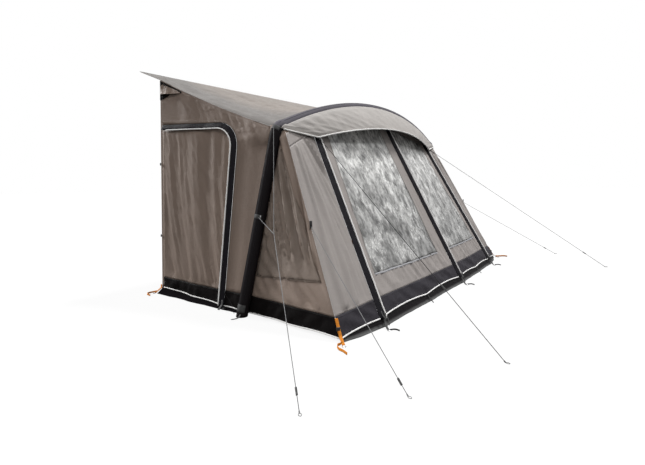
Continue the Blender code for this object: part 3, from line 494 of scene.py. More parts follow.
# %% The wing's folds
wing_steep = Fold(lean=-20, across=0.036, along=1.8, depth=0.056, seed=7.7)
wing_steep_crease = Fold(lean=-22, across=0.028, along=1.6, depth=0.032, seed=8.8)
wing_flat = Fold(lean=-50, across=0.050, along=1.1, depth=0.034, seed=11.0)
wing_flat_crease = Fold(lean=-46, across=0.040, along=0.7, depth=0.018, seed=12.5)
wing_side_fade, wing_foot_fade = 0.11, 0.06
wing_steep_from, wing_turn_height = 0.85, 0.45


def wing_folds(y, z):
    """Steep folds above and flatter ones below, as the guy line pulls."""
    edge = min(arch_y(z) - y, y - ridge_at(z)[1])
    held = ease(edge / wing_side_fade) * ease((z - side_band_top) / wing_foot_fade)
    steep = folds(y, z, wing_steep) + creases(y, z, wing_steep_crease)
    flat = folds(y, z, wing_flat) + creases(y, z, wing_flat_crease)
    return held * mix(steep, flat, ease((wing_steep_from - z) / wing_turn_height))


# %% All the side's folds together
def side_fold(y, z):
    """How far the side cloth stands out in its folds."""
    inside = door_inside(y, z)
    if y > hinge_y or -half_zip < inside <= half_zip:
        return 0.0
    if inside > half_zip:
        return door_folds(y, z, inside)
    return wall_folds(y, z, inside) if y > arch_y(z) else wing_folds(y, z)


def side_cloth(side, y, z, lift=0.0):
    """A place on the left (-1) or right (1) side, with its folds."""
    return Vector((side * (side_half(y, z) + side_fold(y, z) + lift), y, z))


# %% [markdown]
# ## The front surface
#
# The front slopes back from the ground to the crown. Three zips and two corners divide it
# into four fields, and each field billows a little. It is a function of (x, z).

# %% The front's lines
def header_top(x):
    return crown_z(x, tube_radius + header_gap)


def header_foot(x):
    return crown_z(x, tube_radius + header_gap + header_depth)


def header_seam(x):
    return header_foot(x) - seam


def zip_line(which):
    """The foot and head of the left (-1), middle (0) or right (1) zip."""
    foot = Vector((which * outer_zip_foot_half, outer_zip_foot_y, hem_front))
    head_x = which * outer_zip_head_half
    if which == 0:
        foot = Vector((middle_zip_foot_x, middle_zip_foot_y, hem_front))
        head_x = middle_zip_head_x
    return foot, Vector((head_x, arch_y(crown_z(head_x)), header_top(head_x)))


zip_lines = {which: zip_line(which) for which in front_zips.values()}


def on_line(which, z):
    foot, head = zip_lines[which]
    return foot.lerp(head, (z - foot.z) / (head.z - foot.z))


def line_x(which, z, offset=0.0):
    """The x of a zip's line, or of a corner when which is -2 or 2."""
    if abs(which) == 2:
        return math.copysign(ridge_at(z)[0], which) + offset
    return on_line(which, z).x + offset


# %% The surface between them
def front_fields(z):
    ridge_half, ridge_y = ridge_at(z)
    middle = [(on_line(which, z).x, on_line(which, z).y) for which in zip_lines]
    return [(-ridge_half, ridge_y)] + middle + [(ridge_half, ridge_y)]


def front_y(x, z):
    lines = front_fields(z)
    for (x0, y0), (x1, y1) in zip(lines, lines[1:]):
        if x <= x1:
            break
    share = limit((x - x0) / (x1 - x0))
    clear = zip_width / (x1 - x0)
    swell_share = limit((share - clear) / (1 - 2 * clear))
    swell = math.sin(math.pi * swell_share) ** 2 * math.sin(math.pi * limit(z / leg_top_z))
    return mix(y0, y1, share) - front_billow * swell


def front_hem(x):
    past_zip = (abs(x) - outer_zip_foot_half) / (corner_half - outer_zip_foot_half)
    return mix(hem_front, hem_corner, limit(past_zip))


# %% The front's folds
corner_fan_centre = (-1.62, 1.95)
corner_long = Fold(lean=0, across=0.058, along=2.5, depth=0.040, seed=3.1)
corner_fine = Fold(lean=0, across=0.025, along=1.2, depth=0.008, seed=7.9)
corner_crease = Fold(lean=0, across=0.06, along=1.4, depth=0.012, seed=15.2)
panel_slant = Fold(lean=24, across=0.05, along=0.5, depth=0.020, seed=21.0)
panel_crease = Fold(lean=-30, across=0.05, along=0.3, depth=0.008, seed=23.0)
panel_calm = Fold(lean=6, across=0.03, along=0.4, depth=0.009, seed=31.0)
front_side_fade, front_foot_fade, front_head_fade = 0.06, 0.06, 0.05
panel_slant_from, panel_slant_height = 0.62, 0.3


def front_fold(x, z):
    """How far the front cloth stands out in its folds."""
    lines = front_fields(z)
    field = sum(x > p[0] for p in lines[1:4])
    edge = min(x - lines[field][0], lines[field + 1][0] - x) - half_zip
    band = front_hem(x) + front_band_height
    held = ease(edge / front_side_fade) * ease((z - band) / front_foot_fade)
    held *= ease((header_foot(x) - z) / front_head_fade)
    if field in (0, 3):
        place = [x if field == 0 else -x, z, corner_fan_centre]
        long = spreading(*place, corner_long) * corner_long.depth
        long += spreading(*place, corner_fine) * corner_fine.depth
        return held * (long + crease(spreading(*place, corner_crease)) * corner_crease.depth)
    low = ease((panel_slant_from - z) / panel_slant_height)
    slant = folds(x, z, panel_slant, shift=field) + creases(x, z, panel_crease, shift=field)
    return held * (slant * low + folds(x, z, panel_calm, shift=field))


def front_cloth(x, z, lift=0.0):
    """A place on the front, with its folds."""
    return Vector((x, front_y(x, z) - front_fold(x, z) - lift, z))


# %% Fields and levels
spans = {
    "corner_left": ((-2, ridge_seam), (-1, -near)),
    "panel_left": ((-1, near), (0, -near)),
    "panel_right": ((0, near), (1, -near)),
    "corner_right": ((1, near), (2, -ridge_seam)),
}


def front_row(left, right, level, row_shares):
    """Places (x, z) between two lines along a level, found in a few rounds."""
    places = []
    for share in row_shares:
        x = mix(line_x(left[0], 0.0, left[1]), line_x(right[0], 0.0, right[1]), share)
        for _ in range(8):
            z = level(x)
            x = mix(line_x(left[0], z, left[1]), line_x(right[0], z, right[1]), share)
        places.append((x, z))
    return places


# %% Hems that hang between pegs
hem_pegs = (-0.66, 0.92)
front_pegs = (
    -corner_half, -outer_zip_foot_half, hem_pegs[0], middle_zip_foot_x,
    hem_pegs[1], outer_zip_foot_half, corner_half,
)
side_pegs = (corner_y, -0.72, leg_foot_y, side_zip_foot[0], 0.62, wall_rear_y)
front_scallop, side_scallop = 0.022, 0.012


def scallop(place, pegs, height):
    """How far a hem rises between its pegs."""
    for a, b in zip(pegs, pegs[1:]):
        if a <= place <= b:
            share = (place - a) / (b - a)
            return height * (b - a) * 4 * share * (1 - share)
    return 0.0


def front_edge(x):
    return front_hem(x) + scallop(x, front_pegs, front_scallop)


def side_edge(y):
    return side_hem(y) + scallop(y, side_pegs, side_scallop)


def above_hem(height):
    return lambda x: front_hem(x) + height


def above_edge(height):
    return lambda x: front_edge(x) + height


# %% [markdown]
# ## Sheets, tubes, ribbons and blocks
#
# A sheet starts as a flat grid and each vertex is moved to its place on a surface, so its UV
# map still measures the cloth in metres and the weave doesn't stretch. A Solidify modifier
# gives it its thickness. Welts and wires are grids rolled up into a tube, straps are narrow
# sheets, and buckles are cubes with a bevel.

# %% A finished mesh as a piece
def piece_from(name, bm, material, body):
    """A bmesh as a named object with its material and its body."""
    mesh = bpy.data.meshes.new(name)
    bm.to_mesh(mesh)
    bm.free()
    mesh.shade_smooth()
    mesh.materials.append(material)
    piece = bpy.data.objects.new(name, mesh)
    bpy.context.scene.collection.objects.link(piece)
    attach(piece, body)
    return piece


# %% Sheets
def grid_sheet(name, rows, thickness, material, body=ROOT, ring=False):
    """A grid laid on rows of points, its UV map in metres; the piece and its area."""
    columns, lines = len(rows[0]) - 1, len(rows) - 1
    width = sum(run_of(row) for row in (rows[0], rows[lines // 2], rows[-1])) / 3
    length = sum(run_of([row[j] for row in rows]) for j in (0, columns // 2, columns)) / 3
    bm = bmesh.new()
    uv = bm.loops.layers.uv.new("cloth")
    bmesh.ops.create_grid(bm, x_segments=columns, y_segments=lines, size=0.5, calc_uvs=True)
    for face in bm.faces:
        for loop in face.loops:
            u, v = loop[uv].uv
            loop[uv].uv = (u * width, v * length)
    near_side = bm.verts.layers.float.new("near_side")
    near_end = bm.verts.layers.float.new("near_end")
    for vertex in bm.verts:
        u, v = vertex.co.x + 0.5, vertex.co.y + 0.5
        vertex[near_side] = min(u, 1 - u) * width
        vertex[near_end] = min(v, 1 - v) * length
        vertex.co = Vector(rows[round(v * lines)][round(u * columns)])
    if ring:
        bmesh.ops.remove_doubles(bm, verts=bm.verts, dist=1e-6)
    area = sum(face.calc_area() for face in bm.faces)
    piece = piece_from(name, bm, material, body)
    solid = piece.modifiers.new("thickness", "SOLIDIFY")
    solid.thickness = thickness
    solid.offset = 0.0
    solid.use_even_offset = False
    return piece, area


def cloth(name, rows, material, replaced, held, *rests_on, body=ROOT, ring=False, sewn_on=()):
    """A sheet of cloth that stands for the solid of the same place, if it has one, and hides that solid; its
    area is printed. Cloth round an opening is laid as a strip that goes round it.
    """
    piece, area = grid_sheet(name, rows, cloth_thickness, material, body, ring=ring)
    if replaced:
        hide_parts(replaced)
    print("%s: %.2f m2" % (name, area))


def rows_between(first, last, count, lay):
    """Rows between two lines of flat places, each place laid on a surface."""
    return [[lay(*mix_place(a, b, share)) for a, b in zip(first, last)] for share in shares(count)]


# %% Tubes and rings
def tube(name, points, radius, material, count=0, body=ROOT):
    """A round welt along points, as a closed mesh; a count spreads them evenly first."""
    points = resampled(points, count) if count else points
    bm = bmesh.new()
    bmesh.ops.create_grid(bm, x_segments=8, y_segments=len(points) - 1, size=0.5)
    up = Vector((0.13, 0.21, 0.97))
    frames = []
    for i, p in enumerate(points):
        ahead = heading(points, i)
        aside = ahead.cross(up)
        aside = aside.normalized() if aside.length > 1e-4 else ahead.orthogonal().normalized()
        frames.append((Vector(p), aside, ahead.cross(aside)))
    for vertex in bm.verts:
        turn = (vertex.co.x + 0.5) * math.tau
        centre, aside, third = frames[round((vertex.co.y + 0.5) * (len(points) - 1))]
        vertex.co = centre + aside * (radius * math.cos(turn)) + third * (radius * math.sin(turn))
    bmesh.ops.remove_doubles(bm, verts=bm.verts, dist=radius * 0.02)
    bmesh.ops.holes_fill(bm, edges=[e for e in bm.edges if e.is_boundary], sides=0)
    bmesh.ops.recalc_face_normals(bm, faces=bm.faces)
    return piece_from(name, bm, material, body)


def oval_ring(name, centre, long_way, short_way, halves, wire, material, slot_name):
    """A closed wire ring with its two half sizes."""
    long_way, short_way = Vector(long_way).normalized(), Vector(short_way).normalized()
    turns = [math.tau * share for share in shares(24)]
    waves = [(halves[0] * math.cos(turn), halves[1] * math.sin(turn)) for turn in turns]
    points = [Vector(centre) + long_way * a + short_way * b for a, b in waves]
    return tube(name, points, wire, material)


# %% Straps and blocks
def ribbon(name, points, across, width, material, thickness=strap_thickness, body=ROOT):
    """A flat strap along points, its width in one direction."""
    half = Vector(across).normalized() * (width / 2)
    rows = [[Vector(p) + half * (share * 2 - 1) for p in points] for share in shares(3)]
    return grid_sheet(name, rows, thickness, material, body)[0]


def block(name, centre, ahead, up, size, material):
    """A small moulded block with rounded edges."""
    ahead, up = Vector(ahead).normalized(), Vector(up)
    up = (up - ahead * up.dot(ahead)).normalized()
    bm = bmesh.new()
    bmesh.ops.create_cube(bm, size=1.0)
    bmesh.ops.scale(bm, vec=size, verts=bm.verts)
    rounding = {"offset": block_edge, "segments": 3, "profile": 0.6, "affect": "EDGES", "material": -1}
    bmesh.ops.bevel(bm, geom=bm.edges[:], **rounding)
    turn = Matrix((ahead, up.cross(ahead), up)).transposed().to_4x4()
    bmesh.ops.transform(bm, matrix=Matrix.Translation(Vector(centre)) @ turn, verts=bm.verts)
    return piece_from(name, bm, material, ROOT)


# %% [markdown]
# ## Shader nodes in short
#
# A material is a small net of nodes. These helpers add one node each and give back its
# output, so that a finish below reads as a list of steps.

# %% One node, and the kinds used most
def add(tree, kind, settings=None, **links):
    """A node with its settings, and its inputs set or linked by name or number."""
    node = tree.nodes.new(kind)
    for key, value in (settings or {}).items():
        setattr(node, key, value)
    for key, value in links.items():
        numbered = key[0] == "i" and key[1:].isdigit()
        socket = node.inputs[int(key[1:]) if numbered else key.replace("_", " ")]
        if isinstance(value, bpy.types.NodeSocket):
            tree.links.new(value, socket)
        else:
            socket.default_value = value
    return node


def maths(tree, operation, *values):
    inputs = {"i%d" % k: value for k, value in enumerate(values)}
    return add(tree, "ShaderNodeMath", {"operation": operation}, **inputs).outputs[0]


def ranged(tree, value, low, high, low_out=0.0, high_out=1.0, **settings):
    """A value moved from one range to another."""
    ends = {"i1": low, "i2": high, "i3": low_out, "i4": high_out}
    return add(tree, "ShaderNodeMapRange", settings, Value=value, **ends).outputs[0]


def cloud_of(tree, place, scale, detail, **more):
    return add(tree, "ShaderNodeTexNoise", Vector=place, Scale=scale, Detail=detail, **more).outputs["Fac"]


def bands(tree, place, direction, scale, distortion=0.0):
    inputs = {"Vector": place, "Scale": scale, "Distortion": distortion}
    return add(tree, "ShaderNodeTexWave", {"bands_direction": direction}, **inputs).outputs["Fac"]


def bumped(tree, strength, distance, height, **more):
    inputs = {"Strength": strength, "Distance": distance, "Height": height}
    return add(tree, "ShaderNodeBump", **inputs, **more).outputs[0]


def toned(tree, colour, tone):
    return add(tree, "ShaderNodeVectorMath", {"operation": "SCALE"}, i0=colour, Scale=tone).outputs[0]


def object_place(tree):
    return add(tree, "ShaderNodeTexCoord").outputs["Object"]


def link_to(tree, node, **outputs):
    for key, value in outputs.items():
        tree.links.new(value, node.inputs[key.replace("_", " ")])


# %% [markdown]
# ## Woven cloth
#
# Every cloth piece shares one weave: fine threads from its own UV map, a slow change of
# tone, and a thicker hem with a stitch line near each edge. It is a node group, built
# once, and each colour of cloth places it with its own values.

# %% The weave, as a node group
def weave_group():
    group = bpy.data.node_groups.new("woven_cloth", "ShaderNodeTree")
    inputs = {"Colour": ("NodeSocketColor", (0.5, 0.5, 0.5, 1)), "Shade": ("NodeSocketFloat", 0.12)}
    inputs["Hem"] = ("NodeSocketFloat", 1.0)
    for label, (kind, value) in inputs.items():
        group.interface.new_socket(label, in_out="INPUT", socket_type=kind).default_value = value
    outputs = {"Colour": "NodeSocketColor", "Roughness": "NodeSocketFloat", "Normal": "NodeSocketVector"}
    for label, kind in outputs.items():
        group.interface.new_socket(label, in_out="OUTPUT", socket_type=kind)
    source, sink = group.nodes.new("NodeGroupInput"), group.nodes.new("NodeGroupOutput")
    uv = add(group, "ShaderNodeUVMap", {"uv_map": "cloth"}).outputs[0]
    place = object_place(group)
    side = add(group, "ShaderNodeAttribute", {"attribute_name": "near_side"}).outputs["Fac"]
    end = add(group, "ShaderNodeAttribute", {"attribute_name": "near_end"}).outputs["Fac"]
    edge = maths(group, "MINIMUM", side, end)
    thread = maths(group, "MULTIPLY", bands(group, uv, "X", 260.0, 0.4), bands(group, uv, "Y", 260.0, 0.4))
    wide = cloud_of(group, place, 3.0, 5.0, Roughness=0.6)
    fine = cloud_of(group, place, 38.0, 4.0, Roughness=0.65)
    hem = ranged(group, edge, 0.021, 0.019, interpolation_type="SMOOTHSTEP")
    dash = maths(group, "GREATER_THAN", bands(group, uv, "DIAGONAL", 90.0), 0.35)
    stitch = maths(group, "MULTIPLY", maths(group, "COMPARE", edge, 0.016, 0.0009), dash)
    stitch = maths(group, "MULTIPLY", stitch, source.outputs["Hem"])
    tone = ranged(group, wide, 0.3, 0.7, -0.5, 0.5)
    tone = maths(group, "MULTIPLY_ADD", tone, source.outputs["Shade"], 1.0)
    tone = maths(group, "MULTIPLY", tone, maths(group, "MULTIPLY_ADD", thread, 0.05, 0.985))
    tone = maths(group, "MULTIPLY", tone, maths(group, "MULTIPLY_ADD", stitch, -0.25, 1.0))
    bump = bumped(group, 0.25, 0.0004, thread)
    bump = bumped(group, 0.55, 0.006, fine, Normal=bump)
    lump = maths(group, "MULTIPLY_ADD", stitch, -0.6, maths(group, "MULTIPLY", hem, source.outputs["Hem"]))
    bump = bumped(group, 0.7, 0.0012, lump, Normal=bump)
    rough = ranged(group, fine, 0.3, 0.7, 0.52, 0.70)
    link_to(group, sink, Colour=toned(group, source.outputs["Colour"], tone), Roughness=rough, Normal=bump)
    return group


woven = weave_group()
print("weave group:", len(woven.nodes), "nodes")

# %% Cloth of one colour
def plain_material(name, colour, roughness, metallic=0.0):
    material = bpy.data.materials.new(name)
    material.use_nodes = True
    shader = material.node_tree.nodes["Principled BSDF"]
    shader.inputs["Base Color"].default_value = (*colour, 1)
    shader.inputs["Roughness"].default_value = roughness
    shader.inputs["Metallic"].default_value = metallic
    return material, material.node_tree, shader


def cloth_material(name, colour, shade=0.12, hem=1.0, shine=0.35):
    material, tree, shader = plain_material(name, colour, 0.6)
    inputs = {"Colour": (*colour, 1), "Shade": shade, "Hem": hem}
    weave = add(tree, "ShaderNodeGroup", {"node_tree": woven}, **inputs)
    weave.name = "weave"
    shader.inputs["Specular IOR Level"].default_value = shine
    outputs = {"Base_Color": weave.outputs["Colour"], "Roughness": weave.outputs["Roughness"]}
    link_to(tree, shader, Normal=weave.outputs["Normal"], **outputs)
    return material


# %% [markdown]
# Three finishes change colour along the part. The roof is painted light and shade: lighter in
# its middle and darker towards its edges. The front's ground flap darkens towards its head,
# painted shade under the hem. The sleeve is black down the legs and slate over the crown.
# Separate materials would leave a hard line, so the colour goes over from one tone to the
# other by place.

# %% Cloth of two tones
def graded_material(name, low, high, axis, start, end, hem=1.0, shine=0.3):
    """Cloth whose colour goes from low to high along an axis of the part."""
    material = cloth_material(name, high, hem=hem, shine=shine)
    tree = material.node_tree
    along = add(tree, "ShaderNodeSeparateXYZ", Vector=object_place(tree)).outputs[axis]
    share = ranged(tree, maths(tree, "ABSOLUTE", along), start, end)
    mixed = add(tree, "ShaderNodeMix", {"data_type": "RGBA"}, i0=share, i6=(*low, 1), i7=(*high, 1))
    link_to(tree, tree.nodes["weave"], Colour=mixed.outputs[2])
    return material


# %% [markdown]
# ## Mouldings, webbing and clear film
#
# Buckles and wires have a fine grain in their height and gloss. Webbing shows cross ribs.
# The window film is creased by packing: painted highlights, bright glints, stand in streaks
# on a dark, slightly see-through ground, and a painted reflection makes it paler towards its head.

# %% Moulded plastic and metal
def moulded_material(name, colour, roughness, metallic=0.0):
    material, tree, shader = plain_material(name, colour, roughness, metallic)
    place = object_place(tree)
    fine = cloud_of(tree, place, 600.0, 3.0)
    tone = ranged(tree, cloud_of(tree, place, 12.0, 2.0), 0.3, 0.7, 0.9, 1.1)
    rough = ranged(tree, fine, 0.3, 0.7, roughness * 0.8, roughness * 1.2)
    bump = bumped(tree, 0.4, 0.0002, fine)
    link_to(tree, shader, Base_Color=toned(tree, colour, tone), Roughness=rough, Normal=bump)
    return material


# %% Webbing
def webbing_material(name, colour):
    material, tree, shader = plain_material(name, colour, 0.65)
    shader.inputs["Specular IOR Level"].default_value = 0.2
    uv = add(tree, "ShaderNodeUVMap", {"uv_map": "cloth"}).outputs[0]
    ribs = maths(tree, "MULTIPLY", bands(tree, uv, "X", 110.0, 0.3), bands(tree, uv, "Y", 160.0))
    tone = ranged(tree, ribs, 0.0, 1.0, 0.75, 1.12)
    link_to(tree, shader, Base_Color=toned(tree, colour, tone), Normal=bumped(tree, 0.6, 0.0006, ribs))
    return material


# %% Film
def film_material(name):
    material, tree, shader = plain_material(name, (0.6, 0.6, 0.6), 0.22)
    shader.inputs["Specular IOR Level"].default_value = 0.35
    place = object_place(tree)
    lean = {"Rotation": (0.0, 0.24, 0.0), "Scale": (1.0, 1.0, 0.20)}
    tall = add(tree, "ShaderNodeMapping", Vector=place, **lean).outputs[0]
    streak = cloud_of(tree, tall, 58.0, 5.0, Roughness=0.72, Distortion=0.3)
    wide = cloud_of(tree, tall, 17.0, 4.0, Roughness=0.6, Distortion=0.6)
    cloud = cloud_of(tree, place, 4.5, 3.0, Distortion=0.9)
    crumple = cloud_of(tree, tall, 30.0, 6.0, Distortion=1.0)
    # Painted highlights: bright glints in streaks where the film is creased.
    glint = ranged(tree, streak, 0.53, 0.63, interpolation_type="SMOOTHSTEP")
    glint = maths(tree, "MULTIPLY", glint, ranged(tree, cloud, 0.45, 0.60, 0.10, 1.0))
    height = add(tree, "ShaderNodeSeparateXYZ", Vector=place).outputs["Z"]
    shade = ranged(tree, wide, 0.34, 0.64, 0.13, 0.56)
    # Painted reflection: the film is paler towards its head.
    shade = maths(tree, "MULTIPLY", shade, ranged(tree, height, 0.75, 1.30, 1.0, 1.65))
    shade = maths(tree, "MULTIPLY", shade, ranged(tree, cloud, 0.36, 0.64, 0.62, 1.36))
    tone = add(tree, "ShaderNodeMix", {"data_type": "FLOAT"}, i0=glint, i2=shade, i3=1.0).outputs[0]
    alpha = ranged(tree, streak, 0.35, 0.65, 0.82, 0.97)
    colour = toned(tree, (0.99, 0.985, 0.965), tone)
    link_to(tree, shader, Base_Color=colour, Alpha=alpha, Normal=bumped(tree, 0.8, 0.006, crumple))
    return material


# %% [markdown]
# ## The finishes of this awning
#
# Each finish has a name, so that a piece below only says what it is made of. The colours
# were chosen by comparing renders under this scene's lights with the photograph.

# %% The plain cloths
taupe = cloth_material("taupe_cloth", (0.222, 0.166, 0.133))
# The wing is the wall's taupe made lighter: painted light where the sun grazes the wing.
wing_taupe_painted_light = cloth_material("wing_cloth_painted_light", (0.268, 0.204, 0.166))
# The window cover is the taupe made lighter as well: painted light, as on the wing.
cover_taupe_painted_light = cloth_material("window_cover_cloth_painted_light", (0.228, 0.180, 0.148))
light_taupe = cloth_material("light_taupe_cloth", (0.345, 0.314, 0.298))
pale_taupe = cloth_material("pale_taupe_cloth", (0.455, 0.428, 0.405))
charcoal = cloth_material("charcoal_cloth", (0.042, 0.039, 0.046), shade=0.2, shine=0.06)
side_black = cloth_material("black_side_cloth", (0.006, 0.005, 0.005), shade=0.2, shine=0.03)
flap_black = cloth_material("mud_flap_cloth", (0.010, 0.009, 0.010), shade=0.4, shine=0.0)
zip_black = cloth_material("zip_flap_cloth", (0.013, 0.012, 0.015), hem=0.0, shine=0.08)
piping_white = cloth_material("piping_white", (0.97, 0.96, 0.94), hem=0.0, shade=0.04)
piping_grey = cloth_material("piping_grey", (0.42, 0.42, 0.44), hem=0.0, shade=0.05)

# %% The cloths of two tones
# The roof's two tones are painted light: lighter and warmer in the middle where light falls, with painted
# shade darkening it towards its sides.
roof_middle, roof_side = (0.26, 0.230, 0.207), (0.185, 0.173, 0.163)
roof_painted_light_and_shade = graded_material("roof_cloth_painted_light_and_shade", roof_middle, roof_side, "X", 1.15, 1.50, 0.5, 0.35)
# The front flap is grey at its foot and black towards its head: the black is painted shade under the hem and
# its piping.
flap_foot, flap_head_painted_shade = (0.13, 0.13, 0.13), (0.010, 0.009, 0.010)
front_flap_painted_shade = graded_material("front_flap_cloth_painted_shade", flap_foot, flap_head_painted_shade, "Z", 0.010, 0.028, shine=0.05)
sleeve_leg, sleeve_crown = (0.013, 0.011, 0.012), (0.130, 0.122, 0.140)
sleeve_black = graded_material("sleeve_cloth_black", sleeve_leg, sleeve_crown, "Z", 1.705, 1.715, 0.0, 0.06)

# %% The webbing, mouldings, film and cord
film = film_material("clear_film")
orange = webbing_material("orange_webbing", (0.86, 0.30, 0.03))
grey_webbing = webbing_material("grey_webbing", (0.085, 0.085, 0.085))
black_webbing = webbing_material("black_webbing", (0.016, 0.016, 0.017))
dark_plastic = moulded_material("dark_moulding", (0.03, 0.03, 0.03), 0.42)
grey_plastic = moulded_material("grey_moulding", (0.45, 0.45, 0.45), 0.4)
bright_steel = moulded_material("bright_wire", (0.72, 0.72, 0.73), 0.22, 1.0)
dark_metal = moulded_material("dark_zip_metal", (0.06, 0.06, 0.06), 0.35, 0.8)
bladder = moulded_material("air_tube_film", (0.70, 0.70, 0.68), 0.35)
cord_grey = webbing_material("guy_cord_grey", (0.26, 0.26, 0.265))
cord_dark = webbing_material("guy_cord_dark", (0.02, 0.02, 0.021))
print("materials:", len(bpy.data.materials))

# %% [markdown]
# ## Camera, floor and light
#
# The photograph is a studio cut-out: a level camera to the left of the front, a white ground
# and soft light from high up. The floor glows for the camera only, so that it stays white
# without lighting the awning from below.

# %% Camera
camera_place = (-4.81, -3.105, 1.243)
camera_yaw, camera_roll = math.radians(54.0), math.radians(-0.6)
camera_lens, camera_shift = 24.56, -0.0861


def add_camera():
    data = bpy.data.cameras.new("camera")
    camera = bpy.data.objects.new("camera", data)
    bpy.context.scene.collection.objects.link(camera)
    look = Vector((math.sin(camera_yaw), math.cos(camera_yaw), 0.0))
    level = Vector((math.cos(camera_yaw), -math.sin(camera_yaw), 0.0))
    plumb = Vector((0.0, 0.0, 1.0))
    right = level * math.cos(camera_roll) + plumb * math.sin(camera_roll)
    up = plumb * math.cos(camera_roll) - level * math.sin(camera_roll)
    turn = Matrix((right, up, -look)).transposed().to_4x4()
    camera.matrix_world = Matrix.Translation(Vector(camera_place)) @ turn
    data.sensor_width = 36.0
    data.lens, data.shift_y, data.clip_end = camera_lens, camera_shift, 200.0
    bpy.context.scene.camera = camera


# %% Floor
def add_floor():
    mesh = bpy.data.meshes.new("floor")
    bm = bmesh.new()
    bmesh.ops.create_grid(bm, x_segments=1, y_segments=1, size=40.0)
    bm.to_mesh(mesh)
    bm.free()
    floor = bpy.data.objects.new("floor", mesh)
    bpy.context.scene.collection.objects.link(floor)
    floor.location = (0, 0, -0.001)
    material, tree, shader = plain_material("floor", (0.12, 0.12, 0.12), 1.0)
    path = tree.nodes.new("ShaderNodeLightPath")
    shader.inputs["Specular IOR Level"].default_value = 0.0
    shader.inputs["Emission Color"].default_value = (1, 1, 1, 1)
    glow = maths(tree, "MULTIPLY", path.outputs["Is Camera Ray"], 0.88)
    link_to(tree, shader, Emission_Strength=glow)
    mesh.materials.append(material)


# %% Lamps and sky
def add_sun(name, towards, strength, angle):
    data = bpy.data.lights.new(name, "SUN")
    data.energy, data.angle = strength, math.radians(angle)
    lamp = bpy.data.objects.new(name, data)
    bpy.context.scene.collection.objects.link(lamp)
    lamp.matrix_world = Vector(towards).to_track_quat("Z", "Y").to_matrix().to_4x4()


def add_world():
    """A white sky that is bright where it is seen and dimmer where it lights."""
    world = bpy.data.worlds.new("studio")
    bpy.context.scene.world = world
    world.use_nodes = True
    tree = world.node_tree
    path = tree.nodes.new("ShaderNodeLightPath")
    seen = maths(tree, "MAXIMUM", path.outputs["Is Camera Ray"], path.outputs["Is Glossy Ray"])
    seen = maths(tree, "MAXIMUM", seen, path.outputs["Is Transmission Ray"])
    tree.nodes["Background"].inputs["Color"].default_value = (1, 1, 1, 1)
    link_to(tree, tree.nodes["Background"], Strength=ranged(tree, seen, 0.0, 1.0, 0.25, 1.0))


add_camera()
add_floor()
add_world()
add_sun("front_key", (0.38, -0.14, 0.90), 2.7, 14)
add_sun("side_graze", (-0.20, 0.90, 0.42), 2.8, 14)
add_sun("left_high", (-0.62, -0.42, 0.66), 0.8, 8)
bpy.context.scene.view_settings.view_transform = "Standard"
print("lamps:", len(bpy.data.lights))

# %% [markdown]
# ## Guy lines
#
# Each guy line runs straight from its loop to the ground, because its peg pulls it tight, so
# its route is two or three places. A curve with a round bevel is enough for a taut cord. At
# the ground the cord ends in a knotted eye for a peg, and a branch ties the left leg in.

# %% Routes
guy_radius = 0.0025
junction = Vector((-2.2690, -0.7850, 0.8040))
guy_routes = {
    "left_beam": [Vector((-1.8450, -0.4094, 1.6934)), junction, Vector((-3.0190, -1.6380, 0.004))],
    "left_ridge": [Vector((-1.9189, -0.8815, 0.8327)), Vector((-2.5300, -2.0280, 0.004))],
    "left_canopy": [Vector((-1.3706, -0.5623, 1.6318)), Vector((-1.7520, -2.3630, 0.004))],
    "right_canopy": [Vector((1.3706, -0.5623, 1.6318)), Vector((2.1580, -2.6930, 0.004))],
    "right_ridge": [Vector((1.9189, -0.8815, 0.8327)), Vector((2.9000, -1.9910, 0.004))],
}
branch_start = Vector((-1.9638, -0.3264, 0.8848))
branch_end = junction - (junction - branch_start).normalized() * 0.0054


# %% A taut cord
def add_line(name, points, replaced, material):
    data = bpy.data.curves.new(name, "CURVE")
    data.dimensions = "3D"
    data.bevel_depth = guy_radius
    data.bevel_resolution = 3
    data.use_fill_caps = True
    spline = data.splines.new("POLY")
    spline.points.add(len(points) - 1)
    for target, point in zip(spline.points, points):
        target.co = (*point, 1.0)
    data.materials.append(material)
    line = bpy.data.objects.new(name, data)
    bpy.context.scene.collection.objects.link(line)
    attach(line, ROOT)
    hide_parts(replaced)


# %% The peg eye, the knot and the adjuster
def add_guy(name, route, material):
    points = resampled(route, 24)
    end, ahead = points[-1], (points[-1] - points[-2]).normalized()
    flat = Vector((ahead.x, ahead.y, 0)).normalized()
    aside = Vector((-flat.y, flat.x, 0))
    line_name = "line_" + name
    eye_halves, knot_size = (0.014, 0.009), (0.016, 0.008, 0.0075)
    eye_at = end + flat * 0.016
    eye = oval_ring(line_name + "_peg_eye", eye_at, flat, aside, eye_halves, eye_wire, material, "guy_cord")
    knot_at = end - ahead * 0.006
    knot = block(line_name + "_knot", knot_at, ahead, (0, 0, 1), knot_size, material)
    adjuster = nodes["guy_adjuster_" + name]
    adjuster.data.materials.clear()
    adjuster.data.materials.append(dark_plastic)
    add_line(line_name, points, "guy_line_" + name, material)


for guy_name, route in guy_routes.items():
    add_guy(guy_name, route, cord_dark if "canopy" in guy_name else cord_grey)
add_line("line_branch", resampled([branch_start, branch_end], 8), "guy_branch_left_beam", cord_grey)

# %% [markdown]
# ## Roof
#
# The roof hangs from the rail to the arch. Its rear edge is straight, its front edge follows
# the crown, and between them it sags and wrinkles. Rows run from the rail forward, and the
# sag and the folds fade out at all four edges, where the cloth is sewn.

# %% The roof's surface
roof_rear_y = rail_y - rail_beading - seam
roof_ruck = Fold(lean=18, across=0.13, along=0.9, depth=0.034, seed=41.0)
roof_crease = Fold(lean=-24, across=0.09, along=0.6, depth=0.014, seed=43.0)
roof_settle, roof_front_fade, roof_side_fade = 0.022, 0.12, 0.06


